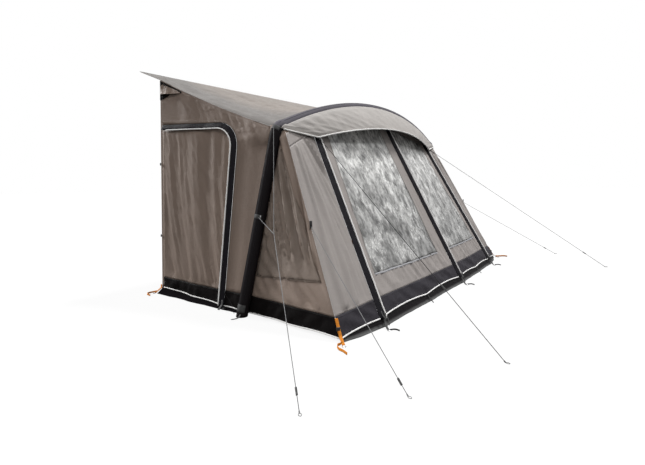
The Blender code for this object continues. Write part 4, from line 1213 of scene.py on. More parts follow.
def roof_point(front, back):
    """A place a share of the way from the rail to a place on the arch."""
    y = mix(roof_rear_y, roof_corner.y, back)
    across = front.x / -roof_corner.x
    pull = across**4
    point = Vector((across * rail_half, roof_rear_y, rail_height)).lerp(front, back)
    point.x += across * (roof_edge_half(y) - mix(rail_half, -roof_corner.x, back))
    point.z += (roof_edge_z(y) - mix(rail_height, roof_corner.z, back)) * pull
    point.z -= 4 * roof_sag * back * (1 - back) * (1 - pull)
    held = ease(min(back, 1 - back) / roof_front_fade) * ease((1 - abs(across)) / roof_side_fade)
    ruck = folds(across * 2, back * 1.6, roof_ruck)
    ruck += creases(across * 2, back * 1.6, roof_crease) - roof_settle * (1 - pull)
    point.z += held * ruck
    return point


# %% The sheet and its edge welts
def build_roof():
    fronts = [on_tube(station, roof_turn, roof_seat) for station in crown]
    wall_share = (roof_rear_y - wall_rear_y) / (roof_rear_y - roof_corner.y)
    backs = steps(0.0, wall_share, 8) + steps(wall_share, 1.0, 48)[1:]
    rows = [[roof_point(front, back) for front in fronts] for back in backs]
    cloth("roof_sheet", rows, roof_painted_light_and_shade, "roof", "hung", "rail_beading", "beam_sleeve")
    for name, column in (("left", 0), ("right", -1)):
        line = [row[column] for row in rows]
        tube("roof_edge_welt_" + name, line, roof_welt, light_taupe, 60)


build_roof()

# %% [markdown]
# ## Canopy over the front
#
# A small peak hangs from the crown and is pulled forward at its two lower corners. Its free
# edge arches up between them and carries a white piping, which is a tube along that edge.

# %% The canopy's surface
canopy_turn, canopy_seat = 165.0, tube_radius * 0.966 + 0.0014
piping_shift = Vector((0, -0.004, -0.003))
canopy_billow = 0.012
canopy_top_fade, canopy_foot_fade, canopy_end_fade = 0.1, 0.15, 0.05
gather_depth, slack_depth, pull_depth = 0.010, 0.008, 0.006


def canopy_point(top, across, down):
    """A place a share of the way down from the crown to the free edge."""
    arch = 1 - across * across
    free = Vector((across * canopy_half, canopy_y - canopy_reach * arch, canopy_z + canopy_rise * arch))
    point = top.lerp(free, down)
    point.y -= canopy_billow * math.sin(math.pi * down) * arch
    held = ease(down / canopy_top_fade) * ease((1 - down) / canopy_foot_fade)
    held *= ease((1 - abs(across)) / canopy_end_fade)
    gather = crease(soft(across * 12 + down * 0.8, down * 0.25, 51.0)) * gather_depth * ease(1.3 - down)
    slack = soft(across * 4 + down * 0.4, down * 0.4, 52.0) * slack_depth
    pull = crease(soft(across * 8 - down * 1.6, down * 0.4, 53.0)) * pull_depth
    point.y -= held * (gather + slack + pull)
    return point


# %% The sheet and its piping
def build_canopy():
    tops = [on_tube(station, canopy_turn, canopy_seat) for station in crown]
    rows = [[canopy_point(top, top.x / tops[-1].x, down) for top in tops] for down in shares(30)]
    cloth("canopy_sheet", rows, pale_taupe, "canopy", "stretched", "beam_sleeve")
    edge = [row[0] for row in rows[2:-1]] + rows[-1] + [row[-1] for row in rows[-2:1:-1]]
    tube("canopy_piping", [p + piping_shift for p in edge], canopy_piping, piping_white, 150)


build_canopy()

# %% [markdown]
# ## Inflated arch
#
# A tight air tube inside a woven sleeve stands the awning up. Air pushes the sleeve round,
# so it is nearly a plain tube: only the inside of each bend gathers in small ripples. It is
# a grid rolled up round the stations, with two seams sewn along it.

# %% The sleeve's skin
sleeve_radius, sleeve_skin, ripple_depth = tube_radius * 0.992, 0.0008, 0.0035
bend_at, bend_spread = 0.3475, 0.018
skin_waver, air_tube_gap = 0.0012, 0.0028
sleeve_seams = {"rear": 62.0, "front": 118.0}
sleeve_sides, air_tube_sides = 40, 16
last_station = len(fine_arch) - 1


def sleeve_point(i, angle):
    station = fine_arch[i]
    run = i / last_station
    bent = math.exp(-((abs(run - 0.5) - bend_at) / bend_spread) ** 2)
    inner = limit(-math.sin(math.radians(angle)))
    ripple = bent * inner * ripple_depth * math.sin(i * 2.1)
    skin = soft(angle / 40.0, run * 30, 61.0) * skin_waver
    point = on_tube(station, angle, sleeve_radius + skin + ripple)
    if i in (0, last_station):
        point = point - station.ahead * (point.z / station.ahead.z)
    return point


# %% Sleeve, air tube and seams
def add_skin(name, rows, material, replaced):
    piece = grid_sheet(name, rows, sleeve_skin, material, ring=True)[0]
    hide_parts(replaced)


def build_arch():
    turns = [360.0 * k / sleeve_sides for k in range(sleeve_sides + 1)]
    rows = [[sleeve_point(i, turn) for i in range(len(fine_arch))] for turn in turns]
    add_skin("sleeve_skin", rows, sleeve_black, "beam_sleeve")
    turns = [360.0 * k / air_tube_sides for k in range(air_tube_sides + 1)]
    rows = [[on_tube(s, turn, tube_radius - air_tube_gap) for s in fine_arch[2:-2:4]] for turn in turns]
    add_skin("air_tube_skin", rows, bladder, "air_tube")
    for name, angle in sleeve_seams.items():
        line = [on_tube(station, angle, tube_radius + sleeve_skin) for station in fine_arch[4:-4]]
        tube("sleeve_seam_" + name, line, sleeve_welt, zip_black, 120)


build_arch()

# %% [markdown]
# ## Side wall and door
#
# The wall is one piece of cloth round a door-shaped hole. Its sheet is laid as rows that
# run from the door's edge out to the wall's own edge, so that the hole needs no cutting. The
# door is laid in columns up from the dark band to its round head.

# %% The wall round the door
door_rear = hinge_y - seam


def door_front(z):
    return door_zip_y(z) + near


def build_wall(name, side, infill_piece):
    inner = door_path(near, side_band_top)
    head_at = door_front_steps + door_bend_steps
    head_y, top = inner[head_at][0], inner[-1][1]
    outer = [(leg_edge(z, 1), z) for z in leg_heights(30, 8)]
    outer += [(y, wall_top(y)) for y in steps(wall_front_top, head_y, head_at - len(outer))]
    outer += [(y, wall_top(y)) for y in steps(head_y, wall_rear_y, door_head_steps)[1:]]
    inner[-1] = (hinge_y + seam, top)
    foot = side_hem(wall_rear_y)
    inner += [(hinge_y + seam, z) for z in steps(top, foot, 30)[1:]]
    outer += [(wall_rear_y, z) for z in steps(wall_top(wall_rear_y), foot, 30)[1:]]
    rows = rows_between(inner, outer, 16, lambda y, z: side_cloth(side, y, z))
    wall, held_by = "side_wall_" + name, ["beam_sleeve", "rail_beading"]
    cloth("wall_sheet_" + name, rows, taupe, wall, "stretched", *held_by, sewn_on=[infill_piece])


# %% The door and its dark band
door_band_lift = 0.004
door_ruck = Wrinkle(along=11, slant=0, up=3, depth=0.014, seed=71.0)
door_sharp = Wrinkle(along=16, slant=0, up=3, depth=0.008, seed=72.0)


def build_door(name, side):
    body = "side_door_" + name
    head = door_path(-near, side_band_top)[door_front_steps:]
    across = [(y - door_front(z)) / (door_rear - door_front(z)) for y, z in head]
    foot = [(mix(door_front(side_band_top), door_rear, share), side_band_top) for share in across]
    rows = rows_between(foot, head, 64, lambda y, z: side_cloth(side, y, z))
    cloth("door_sheet_" + name, rows, taupe, body, "hung", "side_wall_" + name, body=body)

    def band_point(share, up):
        z = side_band_top
        for _ in range(3):
            y = mix(door_front(z), door_rear, share)
            z = mix(side_edge(y) + door_band_lift, side_band_top + band_lap, up)
        ruck = band_ruck(y, z, door_ruck, door_sharp)
        return side_cloth(side, y, z, ruck * math.sin(math.pi * up) + band_stand_off)

    rows = [[band_point(share, up) for share in shares(40)] for up in shares(8)]
    band = "side_door_band_" + name
    cloth("door_band_sheet_" + name, rows, side_black, band, "hung", "side_door_" + name, body=body)


# %% [markdown]
# ## Zips under a rain flap
#
# A zip can't be seen when it is shut: its tape lies under a flap that is folded over it and
# piped along its free edge. One outline, from the tape round the fold to the free edge, is
# swept along the zip's path, which gives tape and flap as one strip.

# %% The outline of tape and flap
tape_depth, flap_rise, curl_from = -0.0006, 0.024, 0.012
side_curl, front_curl = 0.0035, 0.003
turn_start, turn_side = half_zip - 0.006, half_zip - 0.001
zip_section = [
    (-half_zip, tape_depth), (0.0, tape_depth), (turn_start, tape_depth), (turn_side, 0.002),
    (half_zip, 0.00425), (turn_side, 0.0065), (turn_start, 0.0085),
    (half_zip * 0.3, 0.013), (-half_zip * 0.3, 0.019), (-half_zip, flap_rise),
]


def flap_curl(along, lift, depth, seed):
    """How far the flap lifts off its fold as it goes along."""
    return soft(along, lift * 40, seed) * depth * limit(lift / curl_from)


# %% The side zips
def build_side_zip(name, side):
    foot = side_hem(side_zip_foot[0]) + seam
    rows = []
    for offset, lift in zip_section:
        row = []
        for k, (y, z) in enumerate(resampled(door_path(offset, foot), 150)):
            row.append(side_cloth(side, y, z, lift + flap_curl(k / 5.0, lift, side_curl, 75.0)))
        rows.append(row)
    cloth("zip_flap_sheet_" + name, rows, zip_black, "side_zip_" + name, "folded", "side_wall_" + name)
    path = resampled(door_path(-half_zip - 0.003, foot), 130)[:-4]
    line = [side_cloth(side, y, z, flap_rise + 0.001) for y, z in path]
    tube("door_piping_" + name, line, side_piping, piping_white, 130)


# %% [markdown]
# ## Wing, dark band and gussets
#
# In front of the leg a narrow wing of cloth reaches the corner. A dark band runs along the
# foot of the side, loose enough to wrinkle. At the shoulder the wall and the wing are
# joined to the round sleeve by short gussets, which are strips between two lines.

# %% The wing
def build_wing(name, side, infill_piece):
    rows = []
    for z in leg_heights(56, 10) + [wing_head]:
        line = steps(leg_edge(z, -1), ridge_at(z)[1] + ridge_seam, 48)
        rows.append([side_cloth(side, y, z) for y in line])
    wing = "side_wing_" + name
    cloth("wing_sheet_" + name, rows, wing_taupe_painted_light, wing, "stretched", "beam_sleeve", sewn_on=[infill_piece])


# %% The dark band
side_ruck = Wrinkle(along=12, slant=6, up=4, depth=0.014, seed=77.0)
side_sharp = Wrinkle(along=17, slant=-5, up=3, depth=0.008, seed=78.0)
band_end_fade, band_leg_fade = 0.05, 0.06


def build_side_band(name, side):
    def band_point(share, up):
        z = side_band_top
        for _ in range(4):
            y = mix(door_zip_y(z) - near, ridge_at(z)[1] + ridge_seam, share)
            z = mix(side_edge(y) + seam, side_band_top + band_lap, up)
        held = math.sin(math.pi * up) * ease(min(share, 1 - share) / band_end_fade)
        held *= ease(abs(y - arch_y(z)) / band_leg_fade)
        return side_cloth(side, y, z, held * band_ruck(y, z, side_ruck, side_sharp) + band_stand_off)

    rows = [[band_point(share, up) for share in shares(64)] for up in shares(8)]
    band = "side_band_" + name
    cloth("side_band_sheet_" + name, rows, side_black, band, "stretched", "beam_sleeve")


# %% The gussets
gusset_low = wrap_low - 0.06
wing_gusset_turns, wall_gusset_turns = (268, 212), (272, 395)
wing_gusset_end, wing_gusset_speed = -1.62, 1.6
wall_gusset_end, wall_gusset_lap = roof_corner.x + 0.03, 0.05
shoulder_xs = (-1.756, -1.735, -1.70, -1.66, wing_gusset_end)
shoulder = fine_arch[:110]


def gusset(name, side, edge, turns, last_x, speed, counts):
    """A strip from a line on the left side's cloth to the sleeve, mirrored for the right."""
    stations = [s for s in shoulder if s.centre.z >= gusset_low and s.centre.x <= last_x]
    run = [ease(k / (len(stations) - 1) * speed) for k in range(len(stations))]
    on_sleeve = [on_tube(s, mix(*turns, share), tube_radius * 0.9) for s, share in zip(stations, run)]
    pairs = list(zip(resampled(edge, counts[0]), resampled(on_sleeve, counts[0])))
    rows = [[p.lerp(q, share) * Vector((-side, 1, 1)) for p, q in pairs] for share in shares(counts[1])]
    return grid_sheet(name, rows, cloth_thickness, taupe)[0]


def wing_gusset(name, side):
    top_half, top_y = ridge_at(wing_head)
    edge = [side_cloth(-1, leg_edge(z, -1) - 0.002, z) for z in steps(gusset_low, wing_head, 16)]
    edge += [Vector((-top_half, top_y, wing_head))]
    edge += [front_cloth(x, header_top(x)) for x in shoulder_xs]
    shape = (wing_gusset_turns, wing_gusset_end, wing_gusset_speed)
    return gusset("wing_gusset_" + name, side, edge, *shape, (90, 6))


def wall_gusset(name, side):
    edge = [side_cloth(-1, leg_edge(z, 1), z) for z in steps(gusset_low, wrap_high, 14)]
    edge += [side_cloth(-1, y, wall_top(y)) for y in (wall_front_top, wall_front_top + wall_gusset_lap)]
    shape = (wall_gusset_turns, wall_gusset_end, 1.0)
    return gusset("wall_gusset_" + name, side, edge, *shape, (24, 5))


# %% [markdown]
# ## Window cover, mud flap and vent
#
# The wing has a mesh window behind a cloth cover with a zip along two edges. Along the
# ground a thin flap keeps out draughts, and it lies loose, so its edge wanders. High on the
# wall a small hood stands off a dark mesh vent; the dark sheet reaches below the hood's hem,
# where it is partly the mesh and partly painted shade under the hood.

# %% The cover over the wing's window
cover_foot_rear, cover_foot_front, cover_head = 0.355, 0.40, 1.50
cover_tuck, cover_rear_inset, cover_least_width = tube_radius * 0.2, 0.03, 0.06
cover_front_inset, cover_lean, cover_swell = 0.055, 0.02, 0.004
cover_welt_out = 0.002


def build_cover(name, side):
    def cover_point(share, up):
        z = mix(mix(cover_foot_rear, cover_foot_front, ease(share)), cover_head, up)
        back = arch_y(z) - cover_tuck
        front = min(ridge_at(z)[1] + cover_front_inset + cover_lean * z, back - cover_least_width)
        swell = cover_swell + cover_swell * math.sin(math.pi * share) * math.sin(math.pi * up)
        return side_cloth(side, mix(back - cover_rear_inset, front, share), z, swell)

    rows = [[cover_point(share, up) for share in shares(36)] for up in shares(40)]
    cloth("window_cover_" + name, rows, cover_taupe_painted_light, None, "stretched", "side_wing_" + name)
    for tag, line, count in (("foot", rows[0], 40), ("front", [row[-1] for row in rows], 50)):
        line = [p + Vector((side * cover_welt_out, 0, 0)) for p in line]
        tube("cover_zip_%s_%s" % (tag, name), line, cover_welt, cover_taupe_painted_light, count)


# %% The mud flap and the hem's piping
ground_clear, flap_low = 0.0012, 0.0014
flap_reach_rear, flap_reach_front = 0.068, 0.022
flap_waver, flap_wander, flap_lap = 0.10, 0.004, 0.001


def build_side_flap(name, side):
    end = leg_foot_y + tube_radius + 0.005

    def flap_point(share, out):
        y = mix(wall_rear_y, end, share)
        hem = side_edge(y) - flap_lap
        point = side_cloth(side, y, hem)
        reach = mix(flap_reach_rear, flap_reach_front, share) * (1 + flap_waver * soft(y * 9, 0.0, 81.0))
        point.x += side * reach * out
        wander = flap_wander * soft(y * 14, out * 2, 82.0) * math.sin(math.pi * out)
        point.z = max(mix(hem, flap_low, out**0.7) + wander, ground_clear)
        return point

    rows = [[flap_point(share, out) for share in shares(60)] for out in shares(8)]
    cloth("mud_flap_sheet_" + name, rows, flap_black, "mud_flap_" + name, "draped", "side_wall_" + name)
    door = steps(hinge_y - 0.014, door_front(0.05), 60)
    wing = steps(door_zip_y(0.05) - near, corner_y + 0.004, 70)
    for tag, ys, above, body in (("door", door, 0.002, "side_door_" + name), ("side", wing, 0.001, ROOT)):
        line = [side_cloth(side, y, side_edge(y) + above, piping_out) for y in ys]
        tube("hem_piping_%s_%s" % (tag, name), line, hem_piping, piping_white, body=body)


# %% The vent
vent_front_y = 0.845
vent_below_roof, vent_rear_depth, vent_front_depth = 0.008, 0.155, 0.022
hood_seam_out, hood_rear_out, hood_front_out, hood_swell = 0.0035, 0.004, 0.003, 0.034
mesh_out, mesh_and_shade_below_hood = 0.0050, 0.060


def build_vent(name, side):
    def vent_ends(share):
        y = mix(wall_rear_y, vent_front_y, share)
        top = wall_top(y) - vent_below_roof
        return y, top, top - mix(vent_rear_depth, vent_front_depth, share)

    def hood_point(share, down):
        y, top, low = vent_ends(share)
        stand = mix(hood_rear_out, hood_front_out, share) + hood_swell * math.sin(math.pi * share**0.7) * down
        return side_cloth(side, y, mix(top, low, down), mix(hood_seam_out, stand, down))

    def mesh_point(share, down):
        y, top, low = vent_ends(share)
        # Below the hood's hem at the rear the dark sheet is partly the vent's mesh and partly painted shade
        # under the hood.
        foot = low - mesh_and_shade_below_hood * ease(1 - share * 1.7)
        return side_cloth(side, y, mix(top, foot, down), mesh_out)

    wall = "side_wall_" + name
    rows = [[hood_point(share, down) for share in shares(24)] for down in shares(12)]
    cloth("vent_hood_" + name, rows, taupe, "vent_cover_" + name, "hung", wall)
    rows = [[mesh_point(share, down) for share in shares(24)] for down in shares(12)]
    cloth("vent_mesh_and_shade_" + name, rows, side_black, None, "stretched", wall)


# %% Both sides
for side_name, side_sign in sides.items():
    wing_infill, wall_infill = wing_gusset(side_name, side_sign), wall_gusset(side_name, side_sign)
    build_wall(side_name, side_sign, wall_infill)
    build_door(side_name, side_sign)
    build_side_zip(side_name, side_sign)
    build_wing(side_name, side_sign, wing_infill)
    build_side_band(side_name, side_sign)
    build_cover(side_name, side_sign)
    build_side_flap(side_name, side_sign)
    build_vent(side_name, side_sign)

# %% [markdown]
# ## Front corners and header
#
# The front hangs under a header strip that follows the crown. The two corner fields
# stay shut, and the two panels between the zips drop open. Each field is laid as rows from
# the top of its dark band to the header, and the band below is a looser sheet of its own.

# %% Rows of one field
front_ruck = Wrinkle(along=9, slant=9, up=4, depth=0.020, seed=91.0)
front_sharp = Wrinkle(along=14, slant=-10, up=3, depth=0.010, seed=92.0)
front_band_end_fade = 0.08


def field_row(field, level, count):
    return front_row(*spans[field], level, shares(count))


def band_rows(field, foot, count):
    """The dark band of one field, wrinkled between its seams."""
    low = field_row(field, foot, count)
    high = field_row(field, above_hem(front_band_height + band_lap), count)

    def band_point(k, up):
        x, z = mix_place(low[k], high[k], up)
        held = math.sin(math.pi * up) * ease(min(k / count, 1 - k / count) / front_band_end_fade)
        return front_cloth(x, z, band_stand_off + held * band_ruck(x, z, front_ruck, front_sharp))

    return [[band_point(k, up) for k in range(count + 1)] for up in shares(10)]


# %% Corners
def build_corner(name):
    field = "corner_" + name
    low = field_row(field, above_hem(front_band_height), 44)
    rows = rows_between(low, field_row(field, header_seam, 44), 84, front_cloth)
    panel = "corner_panel_" + name
    cloth("corner_sheet_" + name, rows, light_taupe, panel, "stretched", "beam_sleeve")
    rows = band_rows(field, above_edge(seam), 36)
    cloth("corner_band_sheet_" + name, rows, charcoal, "corner_band_" + name, "stretched", panel)
    line = [front_cloth(x, z, piping_out) for x, z in field_row(field, above_edge(0.001), 24)]
    tube("hem_piping_corner_" + name, line, front_piping, piping_white)


# %% Header
def build_header():
    low = [place for field in spans for place in field_row(field, header_foot, 20)]
    high = [place for field in spans for place in field_row(field, header_top, 20)]
    rows = rows_between(low, high, 6, front_cloth)
    cloth("header_sheet", rows, light_taupe, "front_header", "stretched", "beam_sleeve")


# %% [markdown]
# ## Front panels with their windows
#
# A panel is cloth round a large clear window. As at the door, its sheet is laid from the
# outer edge to the window's edge, here as a closed ring. The film is a sheet of its own
# that dents a little between its borders.

# %% The window's edge
panel_across, panel_up = 60, 50
window_borders = {
    "left": ((0.105, 0.170), (0.235, 0.150)),
    "right": ((0.050, 0.110), (0.080, 0.170)),
}


def sill(x):
    return sill_height


def lintel(x):
    return header_foot(x) - lintel_drop


def panel_head(x):
    return header_foot(x) - 0.004


def window_row(name, level):
    """The window's edge along a level, between borders whose widths change on the way up."""
    ends = []
    for (which, offset), border, towards in zip(spans["panel_" + name], window_borders[name], (1, -1)):
        x = line_x(which, level(line_x(which, 0.0)))
        z = level(x)
        share = (z - sill(x)) / (lintel(x) - sill(x))
        ends.append(line_x(which, z, offset) + towards * mix(*border, share))
    return [(x, level(x)) for x in steps(*ends, panel_across)]


def ring_of(low, high):
    """The closed line round a field, along both levels and both sides."""
    ring = low[:-1] + [mix_place(low[-1], high[-1], share) for share in shares(panel_up)[:-1]]
    return ring + high[:0:-1] + [mix_place(high[0], low[0], share) for share in shares(panel_up)]


# %% The window film
film_dent = Fold(lean=-10, across=0.09, along=0.5, depth=0.010, seed=95.0)
film_side_dent = Fold(lean=35, across=0.06, along=0.4, depth=0.006, seed=97.0)
film_behind = 0.0004


def film_rows(low, high):
    def film_point(k, up):
        x, z = mix_place(low[k], high[k], up)
        inside = 0 < k < panel_across and 0 < up < 1
        held = math.sin(math.pi * up) ** 0.5 * math.sin(math.pi * k / panel_across) ** 0.5 if inside else 0.0
        dent = folds(x, z, film_dent) + folds(x, z, film_side_dent)
        return front_cloth(x, z, held * dent - film_behind)

    return [[film_point(k, up) for k in range(len(low))] for up in shares(panel_up)]


# %% Panel, film, band and piping
panel_band_lift, panel_piping_lift = 0.004, 0.006
sill_strip_width, side_welt_out = 0.016, 0.0020


def build_panel(name):
    field, band = "panel_" + name, "front_band_" + name
    panel = body = "front_panel_" + name
    foot = field_row(field, above_hem(front_band_height), panel_across)
    outer = ring_of(foot, field_row(field, panel_head, panel_across))
    low, high = window_row(name, sill), window_row(name, lintel)
    rows = rows_between(outer, ring_of(low, high), 10, front_cloth)
    cloth("panel_sheet_" + name, rows, light_taupe, panel, "stretched", band, body=body, ring=True)
    window = "front_window_" + name
    cloth("window_film_" + name, film_rows(low, high), film, window, "stretched", panel, body=body)
    rows = band_rows(field, above_edge(panel_band_lift), panel_across)
    cloth("band_sheet_" + name, rows, charcoal, band, "stretched", panel, body=body)
    hem = field_row(field, above_edge(panel_piping_lift), panel_across)
    line = [front_cloth(x, z, piping_out) for x, z in hem]
    tube("hem_piping_front_" + name, line, front_piping, piping_white, body=body)
    line = resampled([front_cloth(x, z, piping_out) for x, z in low], 40)
    strip = "window_sill_strip_" + name
    ribbon(strip, line, (0.0, 0.45, 1.0), sill_strip_width, piping_grey, body=body)
    for k, tag in ((0, "outer"), (-1, "inner")):
        line = [front_cloth(*mix_place(low[k], high[k], share), side_welt_out) for share in shares(60)]
        welt = "window_side_welt_%s_%s" % (tag, name)
        tube(welt, line, window_welt, light_taupe, body=body)


# %% [markdown]
# ## Front zips and the ground flap
#
# The front zips have the same outline as the side ones, swept up a straight line. Towards
# the head the tape is sunk a little, which leaves room for the slider. The ground flap is a
# short skirt that lies forward on the ground.

# %% Front zips
tape_sunk, sunk_from, sunk_over, tape_rise = 0.0016, 0.6, 0.25, 0.002
front_zip_piping_shift = Vector((0.006, -0.005, 0))


def build_front_zip(name, which):
    rows = []
    for offset, lift in zip_section:
        line = (which, -offset)
        low = front_row(line, line, above_hem(seam), [0.0])[0]
        high = front_row(line, line, header_seam, [0.0])[0]
        row = []
        for share in shares(110):
            curl = flap_curl(share * 22, lift, front_curl, 99.0 + which)
            sunk = tape_sunk * ease((share - sunk_from) / sunk_over) * limit(1 - lift / tape_rise)
            row.append(front_cloth(*mix_place(low, high, share), lift + curl - sunk))
        rows.append(row)
    cloth("front_zip_flap_" + name, rows, zip_black, "front_zip_" + name, "folded", "front_header")
    line = [p + front_zip_piping_shift for p in rows[-1]]
    tube("front_zip_piping_" + name, line, front_piping, piping_white, 100)


# %% Ground flap
front_flap_reach, front_flap_end_reach, front_flap_end = 0.042, 0.014, 0.220
front_flap_waver, front_flap_wander = 0.12, 0.005


def build_front_flap():
    half = corner_half - 2 * ridge_seam

    def flap_point(share, out):
        x = mix(-half, half, share)
        hem = front_edge(x) - flap_lap
        reach = mix(front_flap_end_reach, front_flap_reach, ease((half - abs(x)) / front_flap_end))
        point = Vector((x, front_y(x, hem), hem))
        point.y -= reach * out * (1 + front_flap_waver * soft(x * 8, 0, 101.0))
        wander = front_flap_wander * soft(x * 12, out * 2, 102.0) * math.sin(math.pi * out)
        point.z = max(mix(hem, flap_low, out**0.8) + wander, ground_clear)
        return point

    rows = [[flap_point(share, out) for share in shares(150)] for out in shares(8)]
    cloth("front_mud_flap_sheet", rows, front_flap_painted_shade, "mud_flap_front", "draped", "front_band_left")


# %% The whole front
for field_name in sides:
    build_corner(field_name)
    build_panel(field_name)
for zip_name, zip_which in front_zips.items():
    build_front_zip(zip_name, zip_which)
build_header()
build_front_flap()

# %% [markdown]
# ## Pegging straps
#
# Orange webbing at each corner goes down to a ring for a peg, and its loose tail curls on
# the ground. A strap is a ribbon along a few places. A flowing line through the places
# makes a tail look thrown down, and straight runs make a strap look pulled.

# %% Lines for straps
def smooth(points, count):
    """A flowing line through points, spread evenly."""
    line = []
    for i in range(len(points) - 1):
        start, end = points[i], points[i + 1]
        before, after = points[max(i - 1, 0)], points[min(i + 2, len(points) - 1)]
        for share in shares(6)[:-1]:
            bend = start * 2 + (end - before) * share
            bend += (before * 2 - start * 5 + end * 4 - after) * share**2
            bend += (start * 3 - before - end * 3 + after) * share**3
            line.append(bend / 2)
    return resampled(line + [points[-1]], count)


def mirrored(side, places):
    """Places given for the right, on the left (-1) or the right (1)."""
    return [Vector((side * x, y, z)) for x, y, z in places]


def beside(base, *offsets):
    return [base + Vector(offset) for offset in offsets]


# %% Corner and rear straps
peg_strap_width = 0.025
corner_tail = [
    (2.112, -1.310, 0.030), (2.122, -1.300, 0.015), (2.150, -1.290, 0.0112),
    (2.196, -1.333, 0.0108), (2.221, -1.386, 0.015), (2.240, -1.434, 0.0108),
]
rear_tail = [
    (2.000, 1.186, 0.018), (2.030, 1.215, 0.012), (2.075, 1.225, 0.0096),
    (2.110, 1.190, 0.012), (2.120, 1.120, 0.0096),
]
rear_strap_y = wall_rear_y + 0.0129
rear_strap = [(1.9525, rear_strap_y, 0.085), (1.953, rear_strap_y, 0.052), (2.018, 1.184, 0.0042)]


def build_corner_strap(name, side):
    outward = Vector((side, -1.0, 0.0)).normalized()
    points = []
    for z in (0.165, 0.13, 0.09, 0.05):
        half, y = ridge_at(z)
        points.append(Vector((side * (half - 0.06 * z), y, z)) + outward * 0.009)
    hem, foot = points[-1], Vector((side * 2.112, -1.321, 0.0042))
    points = resampled(points + [hem.lerp(foot, share) for share in shares(4)[1:]], 24)
    strap = ribbon("peg_strap_" + name, points, (side, 1, 0), peg_strap_width, orange)
    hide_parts("corner_strap_" + name)
    half, y = ridge_at(0.095)
    buckle_at, buckle_size = Vector((side * half, y, 0.095)) + outward * 0.007, (0.030, 0.030, 0.009)
    block("peg_buckle_" + name, buckle_at, (0, 0, 1), outward, buckle_size, dark_plastic)
    tail = smooth(mirrored(side, corner_tail), 30)
    ribbon("peg_tail_" + name, tail, (0.2, 0.0, 1.0), 0.020, orange)


def build_rear_strap(name, side):
    points = resampled(mirrored(side, rear_strap), 20)
    strap = ribbon("rear_peg_strap_" + name, points, (0, 1, 0), peg_strap_width, orange)
    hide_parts("rear_strap_" + name)
    tail = smooth(mirrored(side, rear_tail), 24)
    ribbon("rear_peg_tail_" + name, tail, (0.3, 0.0, 1.0), 0.018, orange)
    ring_at, halves = (side * 2.032, 1.184, 0.003), (0.014, 0.012)
    ways = ((1, 0, 0), (0, 1, 0))
    oval_ring("rear_peg_ring_" + name, ring_at, *ways, halves, pulled_ring_wire, bright_steel, "steel")


# %% [markdown]
# ## Loops, tabs and patches
#
# Where a guy line leaves the awning the pull needs a patch: webbing round the leg with a
# ring, a tab at each corner of the canopy and of the front, and a patch on each shoulder.

# %% Loops on the arch, the canopy and the corners
leg_ring_z, ridge_tab_z, shoulder_half, shoulder_z = 0.885, 0.835, 1.80, 1.69
patch_lift = tube_radius + 0.0012
leg_patch_width, shoulder_patch_width, tab_width = 0.040, 0.045, 0.022
canopy_tab_reach = {"left": 0.045, "right": 0.10}


def build_leg_loop(name, side):
    station = nearest(Vector((side * leg_half(leg_ring_z), arch_y(leg_ring_z), leg_ring_z)))
    patch = [on_tube(station, angle, patch_lift) for angle in range(40, 160, 10)]
    ribbon("leg_strap_" + name, patch, station.ahead, leg_patch_width, grey_webbing)
    ring_at = on_tube(station, 138, tube_radius + 0.010)
    long_way, halves = (side * 0.8, -0.5, 0.1), (0.014, 0.016)
    oval_ring("leg_ring_" + name, ring_at, long_way, (0, 0, 1), halves, loop_wire, bright_steel, "steel")


def build_tabs(name, side):
    corner = Vector((side * canopy_half, canopy_y, canopy_z))
    start, peg = guy_routes[name + "_canopy"]
    pull = (peg - start).normalized()
    tab = [corner - pull * 0.030 + Vector((0, 0.004, 0.012)), corner + pull * 0.004]
    tab = resampled(tab + [corner + pull * canopy_tab_reach[name]], 10)
    across, thick = (0.9, 0.0, 0.35), canopy_tab_thickness
    ribbon("canopy_tab_" + name, tab, across, tab_width, black_webbing, thick)
    half, y = ridge_at(ridge_tab_z)
    ridge = Vector((side * half, y, ridge_tab_z))
    out = Vector((side, -1.2, -0.2)).normalized()
    tab = [ridge + out * 0.001 + Vector((0, 0, 0.045)), ridge + out * 0.004]
    tab += [ridge + out * 0.001 - Vector((0, 0, 0.03))]
    ribbon("ridge_tab_" + name, tab, (side, 1, 0), tab_width, black_webbing, tab_thickness)
    station = nearest(Vector((side * shoulder_half, arch_y(shoulder_z), shoulder_z)))
    patch = [on_tube(station, angle, patch_lift) for angle in range(60, 170, 10)]
    ribbon("shoulder_patch_" + name, patch, station.ahead, shoulder_patch_width, grey_webbing)
    for z in (1.40, 0.62):
        tie_at, tie_size = (side * (wall_rear_half + 0.006), wall_rear_y + 0.004, z), (0.028, 0.012, 0.008)
        tie = "tie_loop_%s_%d" % (name, round(z * 100))
        block(tie, tie_at, (0, 0, 1), (side, 0, 0), tie_size, black_webbing)


# %% [markdown]
# ## Small webbing along the foot
#
# Each front zip ends in a short ladder of webbing with a ring and a loose tail. The hem has
# two more peg loops, and each leg stands in a cuff with its own tail and brace.

# %% At the foot of the front zips, and along the hem
wide_strap, middle_strap, narrow_strap = 0.020, 0.018, 0.012


